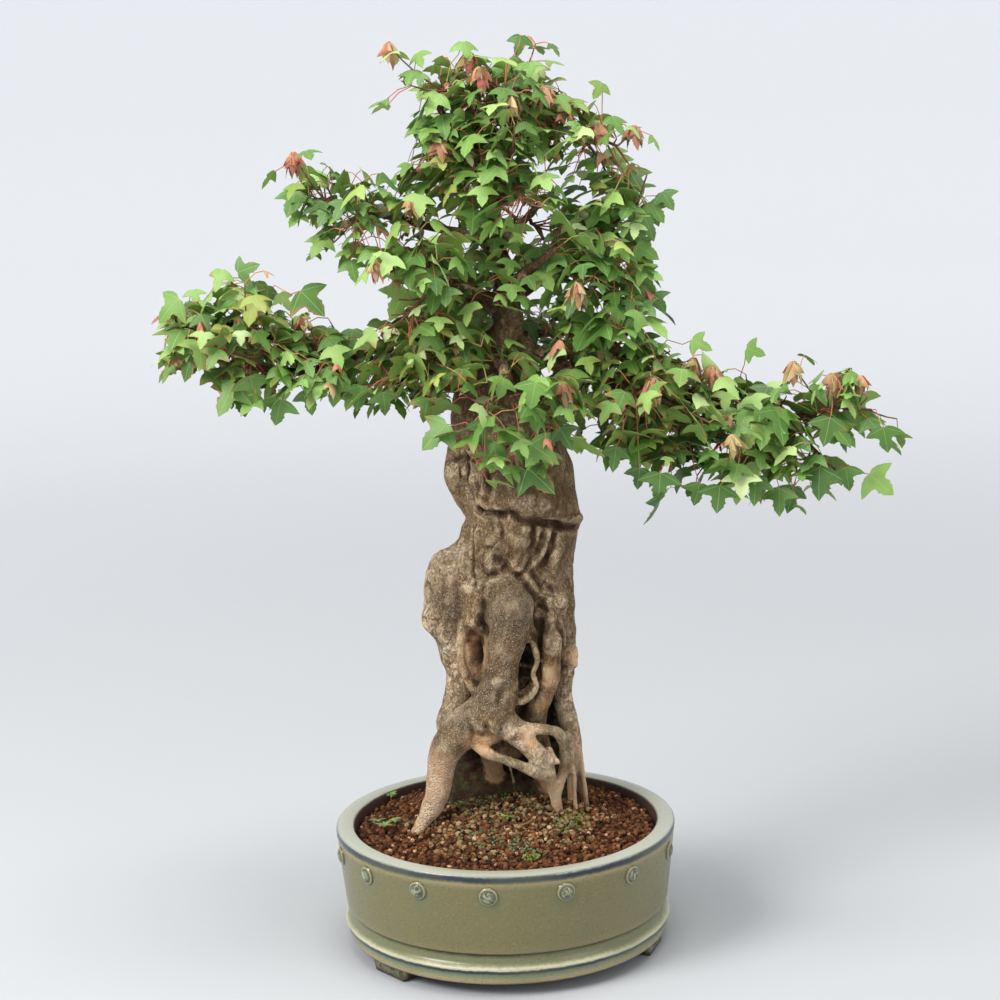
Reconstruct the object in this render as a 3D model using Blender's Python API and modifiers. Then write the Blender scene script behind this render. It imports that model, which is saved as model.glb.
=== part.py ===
"""A trident maple bonsai on exposed roots, in a round glazed drum pot.

Sizes in the tables are millimetres, measured from the middle of the pot where it stands,
with -Y towards the viewer. The finished objects are in metres.
"""

import math
import random

import bmesh
import bpy
from mathutils import Matrix, Vector
from mathutils.bvhtree import BVHTree

MM = 0.001
UP = Vector((0.0, 0.0, 1.0))
GAP = 0.3

# The pot: one thrown drum with a flat rim, a groove and a ridge above its base band
POT_STEPS = 40
RIM_INNER_RADIUS = 134.0
RIM_OUTER_RADIUS = 150.0
RIM_HEIGHT = 107.5
RIM_EDGE = 1.4
WALL_FOOT = (142.6, 37.5)
GROOVE_RADIUS = 139.6
GROOVE_TOP = 35.5
GROOVE_FOOT = 30.0
RIDGE_RADIUS = 144.4
RIDGE_TOP = 26.0
RIDGE_FOOT = 23.0
BASE_RADIUS = 140.5
UNDERSIDE = 10.5
FLOOR = 19.0
FLOOR_RADIUS = 119.0
INNER_FOOT = (129.0, 28.0)

# Drum nails under the rim
STUDS = 15
STUD_RADIUS = 8.2
STUD_CROWN_RADIUS = 4.8
STUD_RISE = 3.8
STUD_SUNK = 4.0
STUD_HEIGHT = 90.0
STUD_FIRST = math.radians(-6.0)
STUD_LEAN = math.radians(6.5)

# Three bracket feet
FOOT_ANGLES = (-48.0, 70.0, 190.0)
FOOT_LENGTH_TOP = 46.0
FOOT_LENGTH_BOTTOM = 37.0
FOOT_DEPTH = 17.0
FOOT_RADIUS = 128.5
FOOT_SUNK = 2.0

# Drain holes in the floor and the screens that lie over them
DRAIN_RADIUS = 11.0
DRAIN_SPACING = 110.0
SCREEN_SIDE = 34.0
SCREEN_THICKNESS = 1.2
SCREEN_MESHES = 2
SCREEN_BAR = 3.0

# The bed of soil, mounded to the trunk
SOIL_RINGS = (48.0, 94.0)
SOIL_EDGE = 97.5
MOUND_RISE = 23.0
MOUND_MIDDLE = (6.0, 30.0)
MOUND_WIDTH = 78.0
HOLE_MARGIN = 1.6 * GAP
HOLE_TOP = SOIL_EDGE + MOUND_RISE + 12.0

# The trunk and its roots, each a route of (x, y, z, radius)
HEART = (
    (4, 42, 170, 24), (3, 40, 203, 33), (4, 34, 251, 42), (0, 30, 298, 47), (5, 28, 334, 43),
    (16, 27, 370, 44), (14, 26, 406, 46), (7, 26, 442, 44), (3, 26, 472, 42), (0, 26, 490, 35),
    (2, 26, 510, 24), (9, 25, 527, 17), (15, 24, 545, 13), (14, 23, 565, 10), (10, 22, 591, 8),
)
SWELLINGS = {
    "left shoulder": ((-16, 28, 357, 20), (-34, 26, 327, 27), (-42, 26, 295, 26), (-40, 27, 263, 20),
                      (-35, 26, 236, 15), (-38, 22, 209, 15), (-43, 12, 189, 17)),
    "club": ((7, -2, 319, 13), (9, -5, 303, 21), (7, -8, 281, 19), (2, -10, 258, 16.5),
             (-1, -10, 235, 16), (-7, -8, 215, 20), (-15, -6, 197, 22)),
    "right shoulder": ((26, 22, 450, 30), (35, 18, 420, 34), (43, 18, 389, 30), (51, 22, 361, 20),
                       (51, 26, 329, 16), (52, 24, 298, 13)),
    "belly": ((-9, 12, 418, 20), (5, 4, 399, 22), (24, 2, 392, 22), (44, 8, 385, 20)),
    "left lobe": ((-29, 22, 436, 13), (-33, 18, 417, 12.5), (-30, 18, 398, 10), (-22, 20, 381, 9)),
    "front lobe": ((-15, 8, 431, 12), (-19, 4, 412, 9), (-15, 6, 392, 8)),
    "right band": ((55, 14, 371, 17), (50, 10, 346, 15), (43, 8, 319, 12), (34, 6, 306, 7)),
    "left knee": ((-14, 5, 366, 11), (-12, 3, 351, 11)),
    "middle knee": ((15, 3, 375, 13), (17, 0, 353, 13), (10, 0, 335, 9)),
    "back swelling": ((-6, 54, 400, 22), (4, 60, 360, 26), (10, 58, 310, 24), (0, 60, 260, 20)),
}
ROOTS = {
    "left leg": ((-15, -5, 202, 20), (-35, -6, 190, 18), (-50, -8, 174, 14.5), (-56, -8, 153, 10.5),
                 (-59, -9, 134, 9.4), (-67, -11, 118, 6.6), (-75, -14, 106, 4.8), (-84, -18, 88, 4.2)),
    "front right": ((-9, -6, 205, 16), (3, -12, 193, 9.5), (16, -14, 183, 8), (27, -14, 171, 7),
                    (36, -12, 157, 6.2), (41, -8, 140, 5.2), (45, -2, 125, 4.6), (50, 4, 96, 4.2)),
    "green loop": ((8, -10, 202, 5), (16, -12, 195, 4.6), (29, -12, 191, 4.6), (44, -10, 188, 5),
                   (53, -4, 178, 6), (55, 0, 163, 6.2), (53, 2, 148, 4.6), (49, 2, 136, 3.6),
                   (46, 2, 121, 3.4)),
    "crossing": ((-22, -14, 178, 6), (-12, -20, 171, 5.2), (3, -22, 166, 5), (16, -22, 160, 5),
                 (28, -19, 153, 5), (37, -15, 147, 4.6), (44, -6, 133, 4)),
    "stub": ((-14, 10, 180, 12), (-11, 24, 155, 9), (-8, 36, 135, 7.6), (-7, 44, 96, 7)),
    "right column": ((46, 12, 314, 13), (47, 6, 288, 11), (45, 2, 262, 10.6), (42, 2, 238, 11),
                     (35, 6, 218, 10.6), (29, 10, 202, 10.5), (28, 16, 184, 11), (33, 26, 158, 10),
                     (39, 34, 125, 8.5), (42, 38, 96, 7)),
    "right outer": ((55, 24, 298, 12), (57, 26, 261, 10), (56, 26, 233, 9), (54, 26, 211, 9),
                    (58, 27, 189, 9.4), (63, 28, 166, 7.2), (67, 28, 144, 5.4), (70, 29, 125, 4.4),
                    (75, 31, 94, 4)),
    "thin inner": ((56, 12, 176, 5), (60, 14, 154, 3.6), (60, 20, 135, 3.2), (59, 28, 98, 3)),
    "slot": ((22, 2, 280, 3.4), (29, -2, 267, 3.2), (30, -2, 258, 3.2), (27, -3, 249, 3.2),
             (26, -4, 243, 3.2), (27, -4, 236, 3.2), (25, -5, 228, 3.2), (19, -6, 222, 3.2),
             (12, -6, 220, 3)),
    "hooked": ((-23, 2, 290, 5), (-31, -1, 286, 4.6), (-35, -2, 275, 4.2), (-35, -3, 263, 4),
               (-34, -4, 248, 3.8), (-30, -5, 235, 3.4), (-25, -4, 224, 3)),
    "back left": ((-22, 52, 205, 18), (-36, 62, 178, 13), (-50, 70, 148, 9), (-60, 78, 122, 6.6),
                  (-68, 84, 92, 5)),
    "back": ((6, 58, 210, 20), (8, 72, 178, 13), (4, 84, 148, 9), (-2, 92, 120, 6.4), (-4, 98, 92, 5)),
    "back right": ((34, 50, 200, 14), (48, 60, 170, 10), (60, 68, 142, 7), (68, 76, 116, 5.4),
                   (74, 82, 92, 4.4)),
}
# How a swelling rounds off past its ends, as (reach, radius) in shares of its end's radius
DOME = ((0.5, 0.84), (0.85, 0.48))
BARK_VOXEL = 2.2
BARK_SHARE = 0.0205
BARK_SIDES = 12
BARK_SPANS = 3

# The limbs, each a route of (x, y, z, radius)
LIMBS = {
    "leader": ((14, 23, 562, 9), (10, 22, 591, 8), (6, 20, 619, 6.5), (3, 18, 649, 5.6), (8, 16, 678, 5),
               (18, 15, 707, 4.3), (27, 14, 733, 3.5), (32, 12, 753, 2.8)),
    "left": ((6, 26, 520, 9), (-10, 26, 530, 7.5), (-28, 26, 532, 6.4), (-72, 27, 534, 5.0),
             (-98, 28, 526, 4.6), (-129, 28, 517, 4.2), (-163, 26, 523, 3.6), (-198, 24, 540, 3.1),
             (-234, 22, 550, 2.6)),
    "left low": ((-123, 28, 518, 3.4), (-146, 16, 510, 3.4), (-173, 4, 508, 3.0), (-200, -8, 513, 2.6),
                 (-228, -16, 520, 2.4)),
    "left back": ((-94, 28, 527, 3.6), (-117, 46, 526, 3.6), (-145, 66, 530, 3.0), (-178, 84, 535, 2.5)),
    "right high": ((12, 24, 558, 8), (28, 22, 572, 5.8), (66, 24, 590, 4.4), (93, 26, 611, 3.6),
                   (112, 28, 634, 2.8)),
    "right low": ((9, 26, 520, 10), (30, 22, 521, 7.4), (64, 14, 502, 5.4), (100, 12, 489, 4.8),
                  (143, 14, 479, 4.4), (191, 16, 469, 3.8), (239, 18, 460, 3.2), (285, 20, 453, 2.6)),
    "right back": ((126, 14, 483, 3.6), (155, 32, 474, 3.6), (189, 52, 460, 3.0), (219, 66, 449, 2.5)),
    "right front": ((92, 12, 491, 3.8), (114, -8, 488, 3.4), (136, -26, 481, 2.8), (159, -38, 471, 2.4)),
    "high left": ((8, 21, 605, 5.2), (-17, 20, 619, 4.4), (-51, 20, 628, 3.8), (-87, 20, 638, 3.2),
                  (-143, 20, 653, 2.3)),
    "mid left": ((6, 23, 564, 6), (-18, 4, 572, 5), (-43, -14, 580, 4), (-82, -36, 594, 2.5)),
    "crown left": ((6, 16, 672, 3.8), (-13, 10, 695, 3.4), (-34, 4, 718, 2.8), (-50, 0, 740, 2.3)),
    "crown right": ((13, 16, 695, 3.4), (41, 14, 703, 3.4), (70, 12, 706, 2.8), (95, 10, 702, 2.3)),
    "crown front": ((5, 18, 645, 4.2), (9, -8, 657, 3.8), (15, -30, 672, 3.0), (20, -44, 689, 2.4)),
    "front hanging": ((6, 22, 519, 7), (7, -2, 512, 5.2), (10, -24, 501, 4.2), (15, -58, 482, 2.6)),
    "front high": ((13, 23, 572, 6), (26, 2, 585, 4.4), (41, -18, 597, 3.6), (54, -34, 607, 2.6)),
    "back low": ((8, 25, 525, 9), (20, 54, 528, 6), (38, 84, 530, 4.6), (68, 124, 527, 2.6)),
    "back left": ((7, 24, 553, 7.5), (-9, 50, 563, 5), (-30, 82, 571, 4), (-50, 112, 576, 3)),
    "back high": ((8, 21, 610, 5.2), (19, 48, 621, 4.2), (34, 74, 634, 3.4), (44, 98, 644, 2.6)),
    "back crown": ((6, 17, 667, 4), (0, 36, 683, 3.4), (-8, 52, 699, 2.6)),
}
THICK_LIMB = 4.5
THICK_LIMB_SIDES = 6
THIN_SIDES = 4

# The foliage pads: middle, half sizes, sprays, blade length and the limbs that carry them
PADS = (
    ("crown_top", (27, 4, 733), (46, 44, 34), 3, 30, ("leader",)),
    ("crown_left", (-33, -2, 716), (44, 40, 40), 3, 30, ("crown left", "leader")),
    ("crown_right", (93, 10, 688), (36, 44, 34), 2, 32, ("crown right",)),
    ("upper_left", (-123, 20, 641), (52, 48, 42), 3, 33, ("high left",)),
    ("middle_left", (-58, -12, 580), (48, 50, 48), 3, 35, ("mid left", "high left")),
    ("lower_left", (-58, -2, 507), (40, 50, 34), 3, 36, ("left",)),
    ("crown_front", (9, -38, 668), (52, 30, 50), 2, 33, ("crown front",)),
    ("right_upper", (100, 14, 614), (50, 58, 54), 3, 35, ("right high", "front high")),
    ("right_inner", (122, -2, 534), (44, 54, 40), 3, 35, ("right high", "front high", "right low")),
    ("left_pad", (-232, 8, 540), (74, 62, 46), 4, 37, ("left", "left low", "left back")),
    ("left_inner", (-134, 14, 507), (44, 54, 32), 2, 36, ("left", "left low", "left back")),
    ("right_middle", (103, -4, 474), (62, 58, 44), 3, 37, ("right low", "right front")),
    ("right_pad", (208, 14, 440), (66, 64, 52), 4, 37, ("right low", "right back", "right front")),
    ("right_end", (301, 18, 438), (58, 46, 46), 3, 37, ("right low", "right back")),
    ("front_hanging", (13, -58, 466), (66, 30, 42), 2, 37, ("front hanging",)),
    ("back_high", (22, 96, 635), (62, 34, 58), 2, 34, ("back high", "back crown")),
    ("back_low", (47, 112, 522), (70, 38, 46), 2, 35, ("back low",)),
    ("back_left", (-55, 104, 568), (52, 38, 48), 2, 35, ("back left", "left back")),
)
# How deep in its pad a spray ends, and where it may sit on its limb
TARGET_DEPTH = 0.62
TARGET_JITTER = 9.0
SAMPLE_SPANS = 12
FIRST_SEAT = 6
SEAT_SPACING = 9.0
SEAT_REACH = 0.35
SPRAY_SEED = 11
TRUNK_MIDDLE = Vector((0.0, 0.0, 400.0))
TRUNK_REACH = 2000.0

# Twigs: their shape, and how far they wander to keep clear of the rest
TWIG_RADIUS = 1.9
TWIG_TIP_RADIUS = 1.15
TWIG_BEND = 0.35
TWIG_ARCH = 0.16
TWIG_WANDER = 0.08
TWIG_POINTS = 4
TWIG_HEEL = 3.5
TWIG_CLEARANCE = 1.2
TWIG_STEP = 3.0
TWIG_TRIES = 60
AIM_WANDER = 0.6
NEAR_SEAT = 9.0

# Leaves: pairs along the twig, the stalks, and the blades with the room they need
PAIR_PLACES = (1.0, 0.7, 0.42)
PAIR_SET_BACK = 2.0
PAIR_TURN = 0.4
RETRY_TURN = 0.7
STALK_LENGTH = (11.0, 19.0)
STALK_FORWARD = (0.3, 0.7)
STALK_RISE = (0.0, 0.3)
STALK_HALF_WIDTH = 0.6
SQUAREST_STALK = 0.4
BLADE_SIZE = (0.9, 1.12)
BLADE_DROP = (0.1, 0.9)
BLADE_OUTWARD = 0.5
BLADE_WANDER = 0.3
BLADE_REACH = 1.2
BLADE_THICKNESS = 0.8
BLADE_CLEARANCE = 1.8
BLADE_TRIES = 40
PROBE_STALK = 0.72
LEAF_SEED = 5
MOST_LEAVES_A_SPRAY = 5

# Half of a leaf's outline as (across, along, droop) of the blade's length
SHOULDER = (0.25, 0.10, 0.02)
SIDE_LOBE_TIP = (0.52, 0.62, 0.16)
CLEFT = (0.15, 0.56, 0.0)
MIDDLE_LOBE_TIP = (0.0, 1.0, 0.24)


def clear_scene():
    for old in list(bpy.data.objects):
        bpy.data.objects.remove(old)


def new_collection(name):
    made = bpy.data.collections.new(name)
    bpy.context.scene.collection.children.link(made)
    return made


def new_material(name, colour, roughness):
    made = bpy.data.materials.new(name)
    made.use_nodes = True
    shader = made.node_tree.nodes["Principled BSDF"]
    shader.inputs["Base Color"].default_value = (*colour, 1.0)
    shader.inputs["Roughness"].default_value = roughness
    shader.inputs["Metallic"].default_value = 0.0
    return made


def new_object(name, mesh, collection, material=None):
    made = bpy.data.objects.new(name, mesh)
    collection.objects.link(made)
    if material:
        mesh.materials.clear()
        mesh.materials.append(material)
    return made


def object_of(bm, name, collection, material=None):
    mesh = bpy.data.meshes.new(name)
    bm.to_mesh(mesh)
    bm.free()
    return new_object(name, mesh, collection, material)


def evaluated_mesh(obj):
    bpy.context.view_layer.update()
    graph = bpy.context.evaluated_depsgraph_get()
    return bpy.data.meshes.new_from_object(obj.evaluated_get(graph), depsgraph=graph)


def apply_modifiers(obj):
    mesh = evaluated_mesh(obj)
    old = obj.data
    obj.modifiers.clear()
    obj.data = mesh
    bpy.data.meshes.remove(old)
    return obj


def remove_objects(collection):
    for obj in list(collection.objects):
        bpy.data.objects.remove(obj)
    bpy.data.collections.remove(collection)


def boolean_with(obj, operation, collection):
    """Joins or cuts an object with everything in a collection, which is used up."""
    modifier = obj.modifiers.new(operation.title(), "BOOLEAN")
    modifier.operation = operation
    modifier.operand_type = "COLLECTION"
    modifier.collection = collection
    modifier.solver = "EXACT"
    apply_modifiers(obj)
    remove_objects(collection)
    return obj


def smooth_route(route, spans):
    """Points with radii, in metres, on a smooth curve through a route's own points."""
    knots = [Vector(point) * MM for point in route]
    knots = [2 * knots[0] - knots[1], *knots, 2 * knots[-1] - knots[-2]]
    points = []
    for a, b, c, d in zip(knots, knots[1:], knots[2:], knots[3:]):
        for i in range(spans):
            t = i / spans
            points.append(
                0.5 * (2 * b + (c - a) * t + (2 * a - 5 * b + 4 * c - d) * t**2
                       + (3 * b - a - 3 * c + d) * t**3)
            )
    points.append(knots[-2])
    return points


def domed(points):
    """Points with radii, rounded off past both ends."""
    ends = []
    for end, inner in ((points[0], points[1]), (points[-1], points[-2])):
        out = (end - inner).to_3d().normalized() * end.w
        ends.append([Vector((*(end.to_3d() + out * reach), end.w * share)) for reach, share in DOME])
    return [*reversed(ends[0]), *points, *ends[1]]


def tube(name, points, sides, collection, material=None):
    """A closed tapering tube along points with radii, as a mesh object."""
    curve = bpy.data.curves.new(name, "CURVE")
    curve.dimensions = "3D"
    curve.fill_mode = "FULL"
    curve.bevel_depth = 1.0
    curve.bevel_resolution = (sides - 4) // 2
    curve.use_fill_caps = True
    spline = curve.splines.new("POLY")
    spline.points.add(len(points) - 1)
    for place, point in zip(spline.points, points):
        place.co = (*point[:3], 1.0)
        place.radius = point[3]
    guide = new_object(f"{name} guide", curve, collection)
    mesh = evaluated_mesh(guide)
    bm = bmesh.new()
    bm.from_mesh(mesh)
    bmesh.ops.remove_doubles(bm, verts=bm.verts, dist=1e-6)
    bmesh.ops.recalc_face_normals(bm, faces=bm.faces)
    bm.to_mesh(mesh)
    bm.free()
    made = new_object(name, mesh, collection, material)
    made.matrix_world = guide.matrix_world
    bpy.data.objects.remove(guide)
    return made


def wall_radius(height):
    """The outer radius of the pot's wall at a height between its foot and the rim."""
    share = (height - WALL_FOOT[1]) / (RIM_HEIGHT - WALL_FOOT[1])
    return WALL_FOOT[0] + (RIM_OUTER_RADIUS - WALL_FOOT[0]) * share


def inner_radius(height):
    """The inner radius of the pot's wall at a height above its inner foot."""
    share = (height - INNER_FOOT[1]) / (RIM_HEIGHT - INNER_FOOT[1])
    return INNER_FOOT[0] + (RIM_INNER_RADIUS - INNER_FOOT[0]) * share


def turned(name, profile, steps, collection, material):
    """A solid of revolution from a profile that runs down its outer side."""
    bm = bmesh.new()
    points = [bm.verts.new((radius * MM, 0.0, height * MM)) for radius, height in profile]
    for a, b in zip(points, points[1:]):
        bm.edges.new((a, b))
    made = object_of(bm, name, collection, material)
    screw = made.modifiers.new("Turn", "SCREW")
    screw.steps = steps
    screw.render_steps = steps
    screw.use_merge_vertices = True
    screw.merge_threshold = 0.00005
    return apply_modifiers(made)


def at_angle(angle, radius, height):
    """Places a piece made along -Y on the pot's wall, turned about the pot's axis."""
    return Matrix.Rotation(angle, 4, "Z") @ Matrix.Translation((0.0, -radius * MM, height * MM))


def make_stud(angle, collection):
    bm = bmesh.new()
    bmesh.ops.create_cone(
        bm, cap_ends=True, segments=8, radius1=STUD_RADIUS * MM, radius2=STUD_CROWN_RADIUS * MM,
        depth=(STUD_RISE + STUD_SUNK) * MM,
    )
    rise = (STUD_RISE - STUD_SUNK) / 2
    facing = Matrix.Rotation(math.pi / 2, 4, "X")
    place = at_angle(angle, wall_radius(STUD_HEIGHT) + rise, STUD_HEIGHT)
    bmesh.ops.transform(bm, matrix=place @ facing, verts=bm.verts)
    object_of(bm, "stud", collection)


def make_foot(angle, collection):
    bm = bmesh.new()
    bmesh.ops.create_cube(bm, size=1.0)
    height = UNDERSIDE + FOOT_SUNK
    for vert in bm.verts:
        length = FOOT_LENGTH_TOP if vert.co.z > 0 else FOOT_LENGTH_BOTTOM
        vert.co = Vector((vert.co.x * length, vert.co.y * FOOT_DEPTH, (vert.co.z + 0.5) * height)) * MM
    bmesh.ops.transform(bm, matrix=at_angle(math.radians(angle), FOOT_RADIUS, 0.0), verts=bm.verts)
    object_of(bm, "foot", collection)


def make_pot(collection, material):
    profile = (
        (0.0, FLOOR), (FLOOR_RADIUS, FLOOR), INNER_FOOT, (RIM_INNER_RADIUS, RIM_HEIGHT),
        (RIM_OUTER_RADIUS - RIM_EDGE, RIM_HEIGHT), (RIM_OUTER_RADIUS, RIM_HEIGHT - RIM_EDGE), WALL_FOOT,
        (GROOVE_RADIUS, GROOVE_TOP), (GROOVE_RADIUS, GROOVE_FOOT), (RIDGE_RADIUS, RIDGE_TOP),
        (RIDGE_RADIUS, RIDGE_FOOT), (BASE_RADIUS, UNDERSIDE), (0.0, UNDERSIDE),
    )
    pot = turned("pot", profile, POT_STEPS, collection, material)
    added = new_collection("pot additions")
    for i in range(STUDS):
        angle = STUD_FIRST + i * 2 * math.pi / STUDS
        make_stud(angle + STUD_LEAN * (1 - math.cos(angle + math.radians(12.0))), added)
    for angle in FOOT_ANGLES:
        make_foot(angle, added)
    boolean_with(pot, "UNION", added)
    drains = new_collection("drains")
    for side in (-1, 1):
        bm = bmesh.new()
        bmesh.ops.create_cone(
            bm, cap_ends=True, segments=12, radius1=DRAIN_RADIUS * MM, radius2=DRAIN_RADIUS * MM,
            depth=2 * FLOOR * MM,
        )
        bmesh.ops.translate(bm, verts=bm.verts, vec=(side * DRAIN_SPACING / 2 * MM, 0.0, FLOOR * MM))
        object_of(bm, "drain", drains)
    return boolean_with(pot, "DIFFERENCE", drains)


def make_screen(index, collection, material):
    """A square of plastic mesh that lies over a drain hole."""
    bm = bmesh.new()
    bmesh.ops.create_cube(bm, size=1.0)
    size = Vector((SCREEN_SIDE, SCREEN_SIDE, SCREEN_THICKNESS)) * MM
    bmesh.ops.scale(bm, vec=size, verts=bm.verts)
    screen = object_of(bm, f"screen_{index}", collection, material)
    meshes = new_collection("screen meshes")
    pitch = (SCREEN_SIDE - SCREEN_BAR) / SCREEN_MESHES
    for column in range(SCREEN_MESHES):
        for row in range(SCREEN_MESHES):
            bm = bmesh.new()
            bmesh.ops.create_cube(bm, size=(pitch - SCREEN_BAR) * MM)
            middle = (SCREEN_MESHES - 1) / 2
            spot = Vector((column - middle, row - middle, 0.0)) * pitch * MM
            bmesh.ops.translate(bm, verts=bm.verts, vec=spot)
            object_of(bm, "mesh", meshes)
    boolean_with(screen, "DIFFERENCE", meshes)
    side = 2 * index - 1
    height = FLOOR + GAP + SCREEN_THICKNESS / 2
    screen.data.transform(Matrix.Translation(Vector((side * DRAIN_SPACING / 2, 0.0, height)) * MM))
    return screen


def soil_height(x, y):
    """The height of the soil in millimetres: a low mound round the foot of the trunk."""
    away = math.hypot(x - MOUND_MIDDLE[0], y - MOUND_MIDDLE[1]) / MOUND_WIDTH
    return SOIL_EDGE + MOUND_RISE * math.exp(-(away**2))


def fattened_root_ends(trunk, collection):
    """A copy of the buried part of the trunk, a gap larger all round, that cuts its holes."""
    cutter = new_object("root holes", trunk.data.copy(), collection)
    bm = bmesh.new()
    bm.from_mesh(cutter.data)
    cut = bmesh.ops.bisect_plane(
        bm, geom=[*bm.verts, *bm.edges, *bm.faces], plane_co=UP * HOLE_TOP * MM, plane_no=UP,
        clear_outer=True,
    )
    rim = [item for item in cut["geom_cut"] if isinstance(item, bmesh.types.BMEdge)]
    bmesh.ops.edgeloop_fill(bm, edges=rim)
    bmesh.ops.triangulate(bm, faces=bm.faces)
    bmesh.ops.recalc_face_normals(bm, faces=bm.faces)
    bm.normal_update()
    offsets = [vert.normal * HOLE_MARGIN * MM for vert in bm.verts]
    for vert, offset in zip(bm.verts, offsets):
        vert.co += offset
    bm.to_mesh(cutter.data)
    bm.free()
    return cutter


def make_soil(trunk, collection, material):
    bottom = FLOOR + SCREEN_THICKNESS + 2 * GAP
    edge = inner_radius(SOIL_EDGE) - GAP
    profile = [(0.0, SOIL_EDGE), *((radius, SOIL_EDGE) for radius in SOIL_RINGS), (edge, SOIL_EDGE)]
    profile += [(INNER_FOOT[0] - GAP, INNER_FOOT[1]), (FLOOR_RADIUS, bottom), (0.0, bottom)]
    soil = turned("soil", profile, POT_STEPS, collection, material)
    for vert in soil.data.vertices:
        x, y, z = vert.co / MM
        if z > SOIL_EDGE - 1.0:
            vert.co.z = soil_height(x, y) * MM
    holes = new_collection("holes")
    fattened_root_ends(trunk, holes)
    return boolean_with(soil, "DIFFERENCE", holes)


def make_trunk(collection, material):
    """The trunk's swellings and roots grown together, with the limbs joined on."""
    grown = new_collection("grown")
    for name, route in {"heart": HEART, **SWELLINGS, **ROOTS}.items():
        tube(name, domed(smooth_route(route, BARK_SPANS)), BARK_SIDES, grown)
    bm = bmesh.new()
    for obj in grown.objects:
        bm.from_mesh(obj.data)
    remove_objects(grown)
    trunk = object_of(bm, "trunk", collection, material)
    remesh = trunk.modifiers.new("Grow together", "REMESH")
    remesh.mode = "VOXEL"
    remesh.voxel_size = BARK_VOXEL * MM
    smooth = trunk.modifiers.new("Soften", "SMOOTH")
    smooth.iterations = 2
    thin = trunk.modifiers.new("Fewer faces", "DECIMATE")
    thin.ratio = BARK_SHARE
    thin.use_collapse_triangulate = True
    apply_modifiers(trunk)
    limbs = new_collection("limbs")
    for name, route in LIMBS.items():
        sides = THICK_LIMB_SIDES if route[0][3] > THICK_LIMB else THIN_SIDES
        tube(name, smooth_route(route, 1), sides, limbs)
    return boolean_with(trunk, "UNION", limbs)


def route_length(points):
    return sum((b - a).length for a, b in zip(points, points[1:]))


def samples_of(routes):
    """Every route as closely spaced points with radii, for finding seats and keeping clear."""
    return {name: smooth_route(route, SAMPLE_SPANS) for name, route in routes.items()}


def spray_targets(pad, chance):
    """Evenly spread points in a foliage pad, which its sprays grow to."""
    _, middle, half, count, *_ = pad
    turn = math.pi * (3 - math.sqrt(5))
    targets = []
    for i in range(count):
        level = 1 - 2 * (i + 0.5) / count
        reach = math.sqrt(1 - level**2)
        angle = turn * i + middle[0]
        spot = Vector((math.cos(angle) * reach, math.sin(angle) * reach, level))
        jitter = Vector([chance.uniform(-1, 1) for _ in range(3)]) * TARGET_JITTER
        targets.append(Vector([m + h * s * TARGET_DEPTH for m, h, s in zip(middle, half, spot)]) + jitter)
    return [target * MM for target in targets]


def find_seat(target, carriers, limbs, taken):
    """The place on a limb that a spray best leaves from: near its target, and free."""
    best = None
    for name in carriers:
        samples = limbs[name]
        for i in range(FIRST_SEAT, len(samples) - 1):
            place = samples[i].to_3d()
            if any((place - other).length < SEAT_SPACING * MM for other in taken):
                continue
            along = (samples[i + 1].to_3d() - samples[i - 1].to_3d()).normalized()
            cost = (place - target).length - SEAT_REACH * (target - place).dot(along)
            if best is None or cost < best[0]:
                best = (cost, place, along)
    return best[1:]


def tree_of(bm):
    bm.normal_update()
    return BVHTree.FromBMesh(bm)


def tree_of_mesh(mesh):
    bm = bmesh.new()
    bm.from_mesh(mesh)
    tree = tree_of(bm)
    bm.free()
    return tree


def twig_route(seat, normal, target, chance):
    """A twig that leaves its limb square, arches a little and ends at its target."""
    span = (target - seat).length
    bend = seat + normal * span * TWIG_BEND + UP * span * TWIG_ARCH
    bend += Vector([chance.uniform(-TWIG_WANDER, TWIG_WANDER) * span for _ in range(3)])
    points = [seat + normal * GAP * MM, seat + normal * TWIG_HEEL * MM]
    for i in range(1, TWIG_POINTS - 1):
        t = i / (TWIG_POINTS - 2)
        points.append(points[1] * (1 - t) ** 2 + bend * 2 * t * (1 - t) + target * t**2)
    return points


def with_radii(points):
    """A twig's points with radii that taper to its tip."""
    last = len(points) - 1
    drop = (TWIG_RADIUS - TWIG_TIP_RADIUS) / last
    return [Vector((*point, (TWIG_RADIUS - drop * i) * MM)) for i, point in enumerate(points)]


def dense(points, step):
    """Points every step or so along a chain of straight runs."""
    out = []
    for a, b in zip(points, points[1:]):
        count = max(1, math.ceil((b - a).length / step))
        out += [a.lerp(b, i / count) for i in range(count)]
    return [*out, points[-1]]


def keeps_clear(points, obstacles, seat):
    """Whether a twig stays clear of the wood and of every other twig, apart from where it sits."""
    for point in dense(points, TWIG_STEP * MM):
        if (point - seat).length < NEAR_SEAT * MM:
            continue
        for place, radius in obstacles:
            if (point - place).length < radius + (TWIG_RADIUS + TWIG_CLEARANCE) * MM:
                return False
    return True


def grow_twig(name, target, seat_place, standing, obstacles, chance, collection, material):
    """A twig from a limb to its target or close by it, clear of all that stands, and its route."""
    place, along = seat_place
    for attempt in range(TWIG_TRIES):
        wander = Vector([chance.uniform(-1, 1) for _ in range(3)]) * attempt * AIM_WANDER * MM
        away = target + wander - place
        away -= along * away.dot(along)
        seat, normal, _, _ = standing[0].ray_cast(place, away.normalized())
        if seat is None:
            continue
        route = twig_route(seat, normal, target + wander, chance)
        if not keeps_clear(route, obstacles, seat):
            continue
        twig = tube(name, with_radii(route), THIN_SIDES, collection, material)
        tree = tree_of_mesh(twig.data)
        if not any(tree.overlap(other) for other in standing):
            standing.append(tree)
            return twig, route
        bpy.data.objects.remove(twig)
    return None, None


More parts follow.
